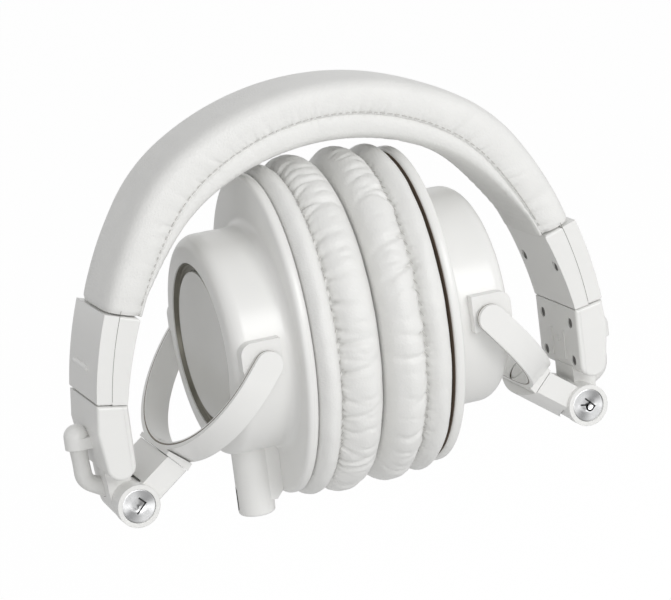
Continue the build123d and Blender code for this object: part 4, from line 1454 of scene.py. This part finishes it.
# ------------------------------------------------------------------------------------ studio
@dataclass
class Studio:
    """A white studio: pale floor, soft lamps and the camera."""

    place: tuple = (-0.27893, -0.81266, 0.25813)
    target: tuple = (-0.000123, -0.001808, 0.060142)
    lens: float = 156.8
    roll: float = 7.222
    drop: float = 0.14
    ambient: float = 0.5
    mirrored: float = 0.9

    def camera(self) -> None:
        """Place the camera, rolled about its own axis."""
        data = bpy.data.cameras.new("camera")
        data.lens = self.lens
        data.sensor_width = 36.0
        data.clip_start = 0.01
        made = linked("camera", data)
        aim = (Vector(self.target) - Vector(self.place)).to_track_quat("-Z", "Y").to_matrix().to_4x4()
        spin = Matrix.Rotation(math.radians(-self.roll), 4, "Z")
        made.matrix_world = Matrix.Translation(Vector(self.place)) @ aim @ spin
        bpy.context.scene.camera = made

    def lamp(self, name: str, place: Sequence[float], size: Sequence[float], power: float) -> None:
        """Hang one soft box that faces the set.

        Args:
            name: The lamp's name.
            place: Where it hangs.
            size: Its width and height.
            power: Its power in watts.
        """
        data = bpy.data.lights.new(name, "AREA")
        data.shape = "RECTANGLE"
        data.size, data.size_y = size
        data.energy = power
        made = linked(name, data)
        made.location = place
        aim = Vector((0.0, 0.0, 0.06)) - Vector(place)
        made.rotation_euler = aim.to_track_quat("-Z", "Y").to_euler()

    def world(self) -> None:
        """Make the white surroundings: white where they are seen, softer where they light."""
        world = bpy.data.worlds.new("surroundings")
        world.use_nodes = True
        bpy.context.scene.world = world
        sky = Nodes(world.node_tree)
        path = sky.node("ShaderNodeLightPath")
        seen = sky.maths("MAXIMUM", path.outputs["Is Camera Ray"], path.outputs["Is Transmission Ray"])
        share = sky.maths("MULTIPLY_ADD", path.outputs["Is Glossy Ray"], self.mirrored, seen)
        glow = sky.node("ShaderNodeBackground", Color=(1.0, 1.0, 1.0, 1.0))
        sky.link(sky.span(share, self.ambient, 1.0), glow.inputs["Strength"])
        sky.link(glow.outputs["Background"], sky.node("ShaderNodeOutputWorld").inputs["Surface"])

    def floor(self) -> None:
        """Lay the floor: white to the eye, with the soft shadow of the set."""
        bench = Bench("studio_floor")
        matt = bench.node("ShaderNodeBsdfDiffuse", Color=(0.86, 0.86, 0.86, 1.0))
        glow = bench.node("ShaderNodeEmission", Color=(1.0, 1.0, 1.0, 1.0), Strength=1.05)
        path = bench.node("ShaderNodeLightPath")
        share = bench.maths("MULTIPLY", path.outputs["Is Camera Ray"], 0.9)
        mix = bench.node("ShaderNodeMixShader")
        bench.link(share, mix.inputs["Fac"])
        bench.link(matt.outputs["BSDF"], mix.inputs[1])
        bench.link(glow.outputs["Emission"], mix.inputs[2])
        bench.link(mix.outputs["Shader"], bench.output.inputs["Surface"])
        size, low = 6.0, -self.drop
        corners = [(-size, -size, low), (size, -size, low), (size, size, low), (-size, size, low)]
        made = plain_mesh("floor", corners, [(0, 1, 2, 3)])
        made.data.materials.append(bench.material)

    def build(self) -> None:
        """Set up the whole studio."""
        bpy.context.scene.view_settings.view_transform = "Standard"
        self.camera()
        self.world()
        self.floor()
        self.lamp("front_box", (0.45, -1.4, 0.65), (0.8, 0.7), 8.8)
        self.lamp("low_box", (-0.5, -1.3, 0.1), (0.7, 0.4), 1.8)
        self.lamp("right_box", (1.5, -0.5, 0.3), (0.5, 0.8), 1.6)


# ------------------------------------------------------------------------------------ the set
@dataclass
class Headphones:
    """The whole set: soft goods, metal details and dressed mouldings."""

    frame: dict

    def soft_goods(self) -> list[Piece]:
        """Build the pads and the band's skins."""
        band = Headband()
        made = [band.sleeve(), band.cushion(), band.stitches()]
        for side in Side:
            pad = EarPad(side)
            made += [pad.build(), pad.gasket(), pad.stitches(), CableSleeve(side).build()]
            made.append(PadScreen(side).build())
        return made

    def metal(self) -> list[Piece]:
        """Build the rings, discs and letters."""
        made = []
        for side in Side:
            disc = HingeDisc(side)
            made += [FaceRing(side).build(), disc.build(), disc.letter(), CapSeam(side).build(Headband()),
                     SwivelWasher(side).build(self.frame["joints"])]
        return [*made, SocketSlot().build()]

    def build(self) -> None:
        """Build and dress everything."""
        Moulding().dress(self.frame["nodes"])
        for piece in self.soft_goods() + self.metal():
            LOG.info("built %s with %d faces", piece.name, len(piece.data.polygons))


def main() -> None:
    """Load the frame, build the set and the studio."""
    logging.basicConfig(level=logging.INFO, format="%(message)s")
    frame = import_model()
    Studio().build()
    Headphones(frame).build()


if __name__ == "__main__":
    main()
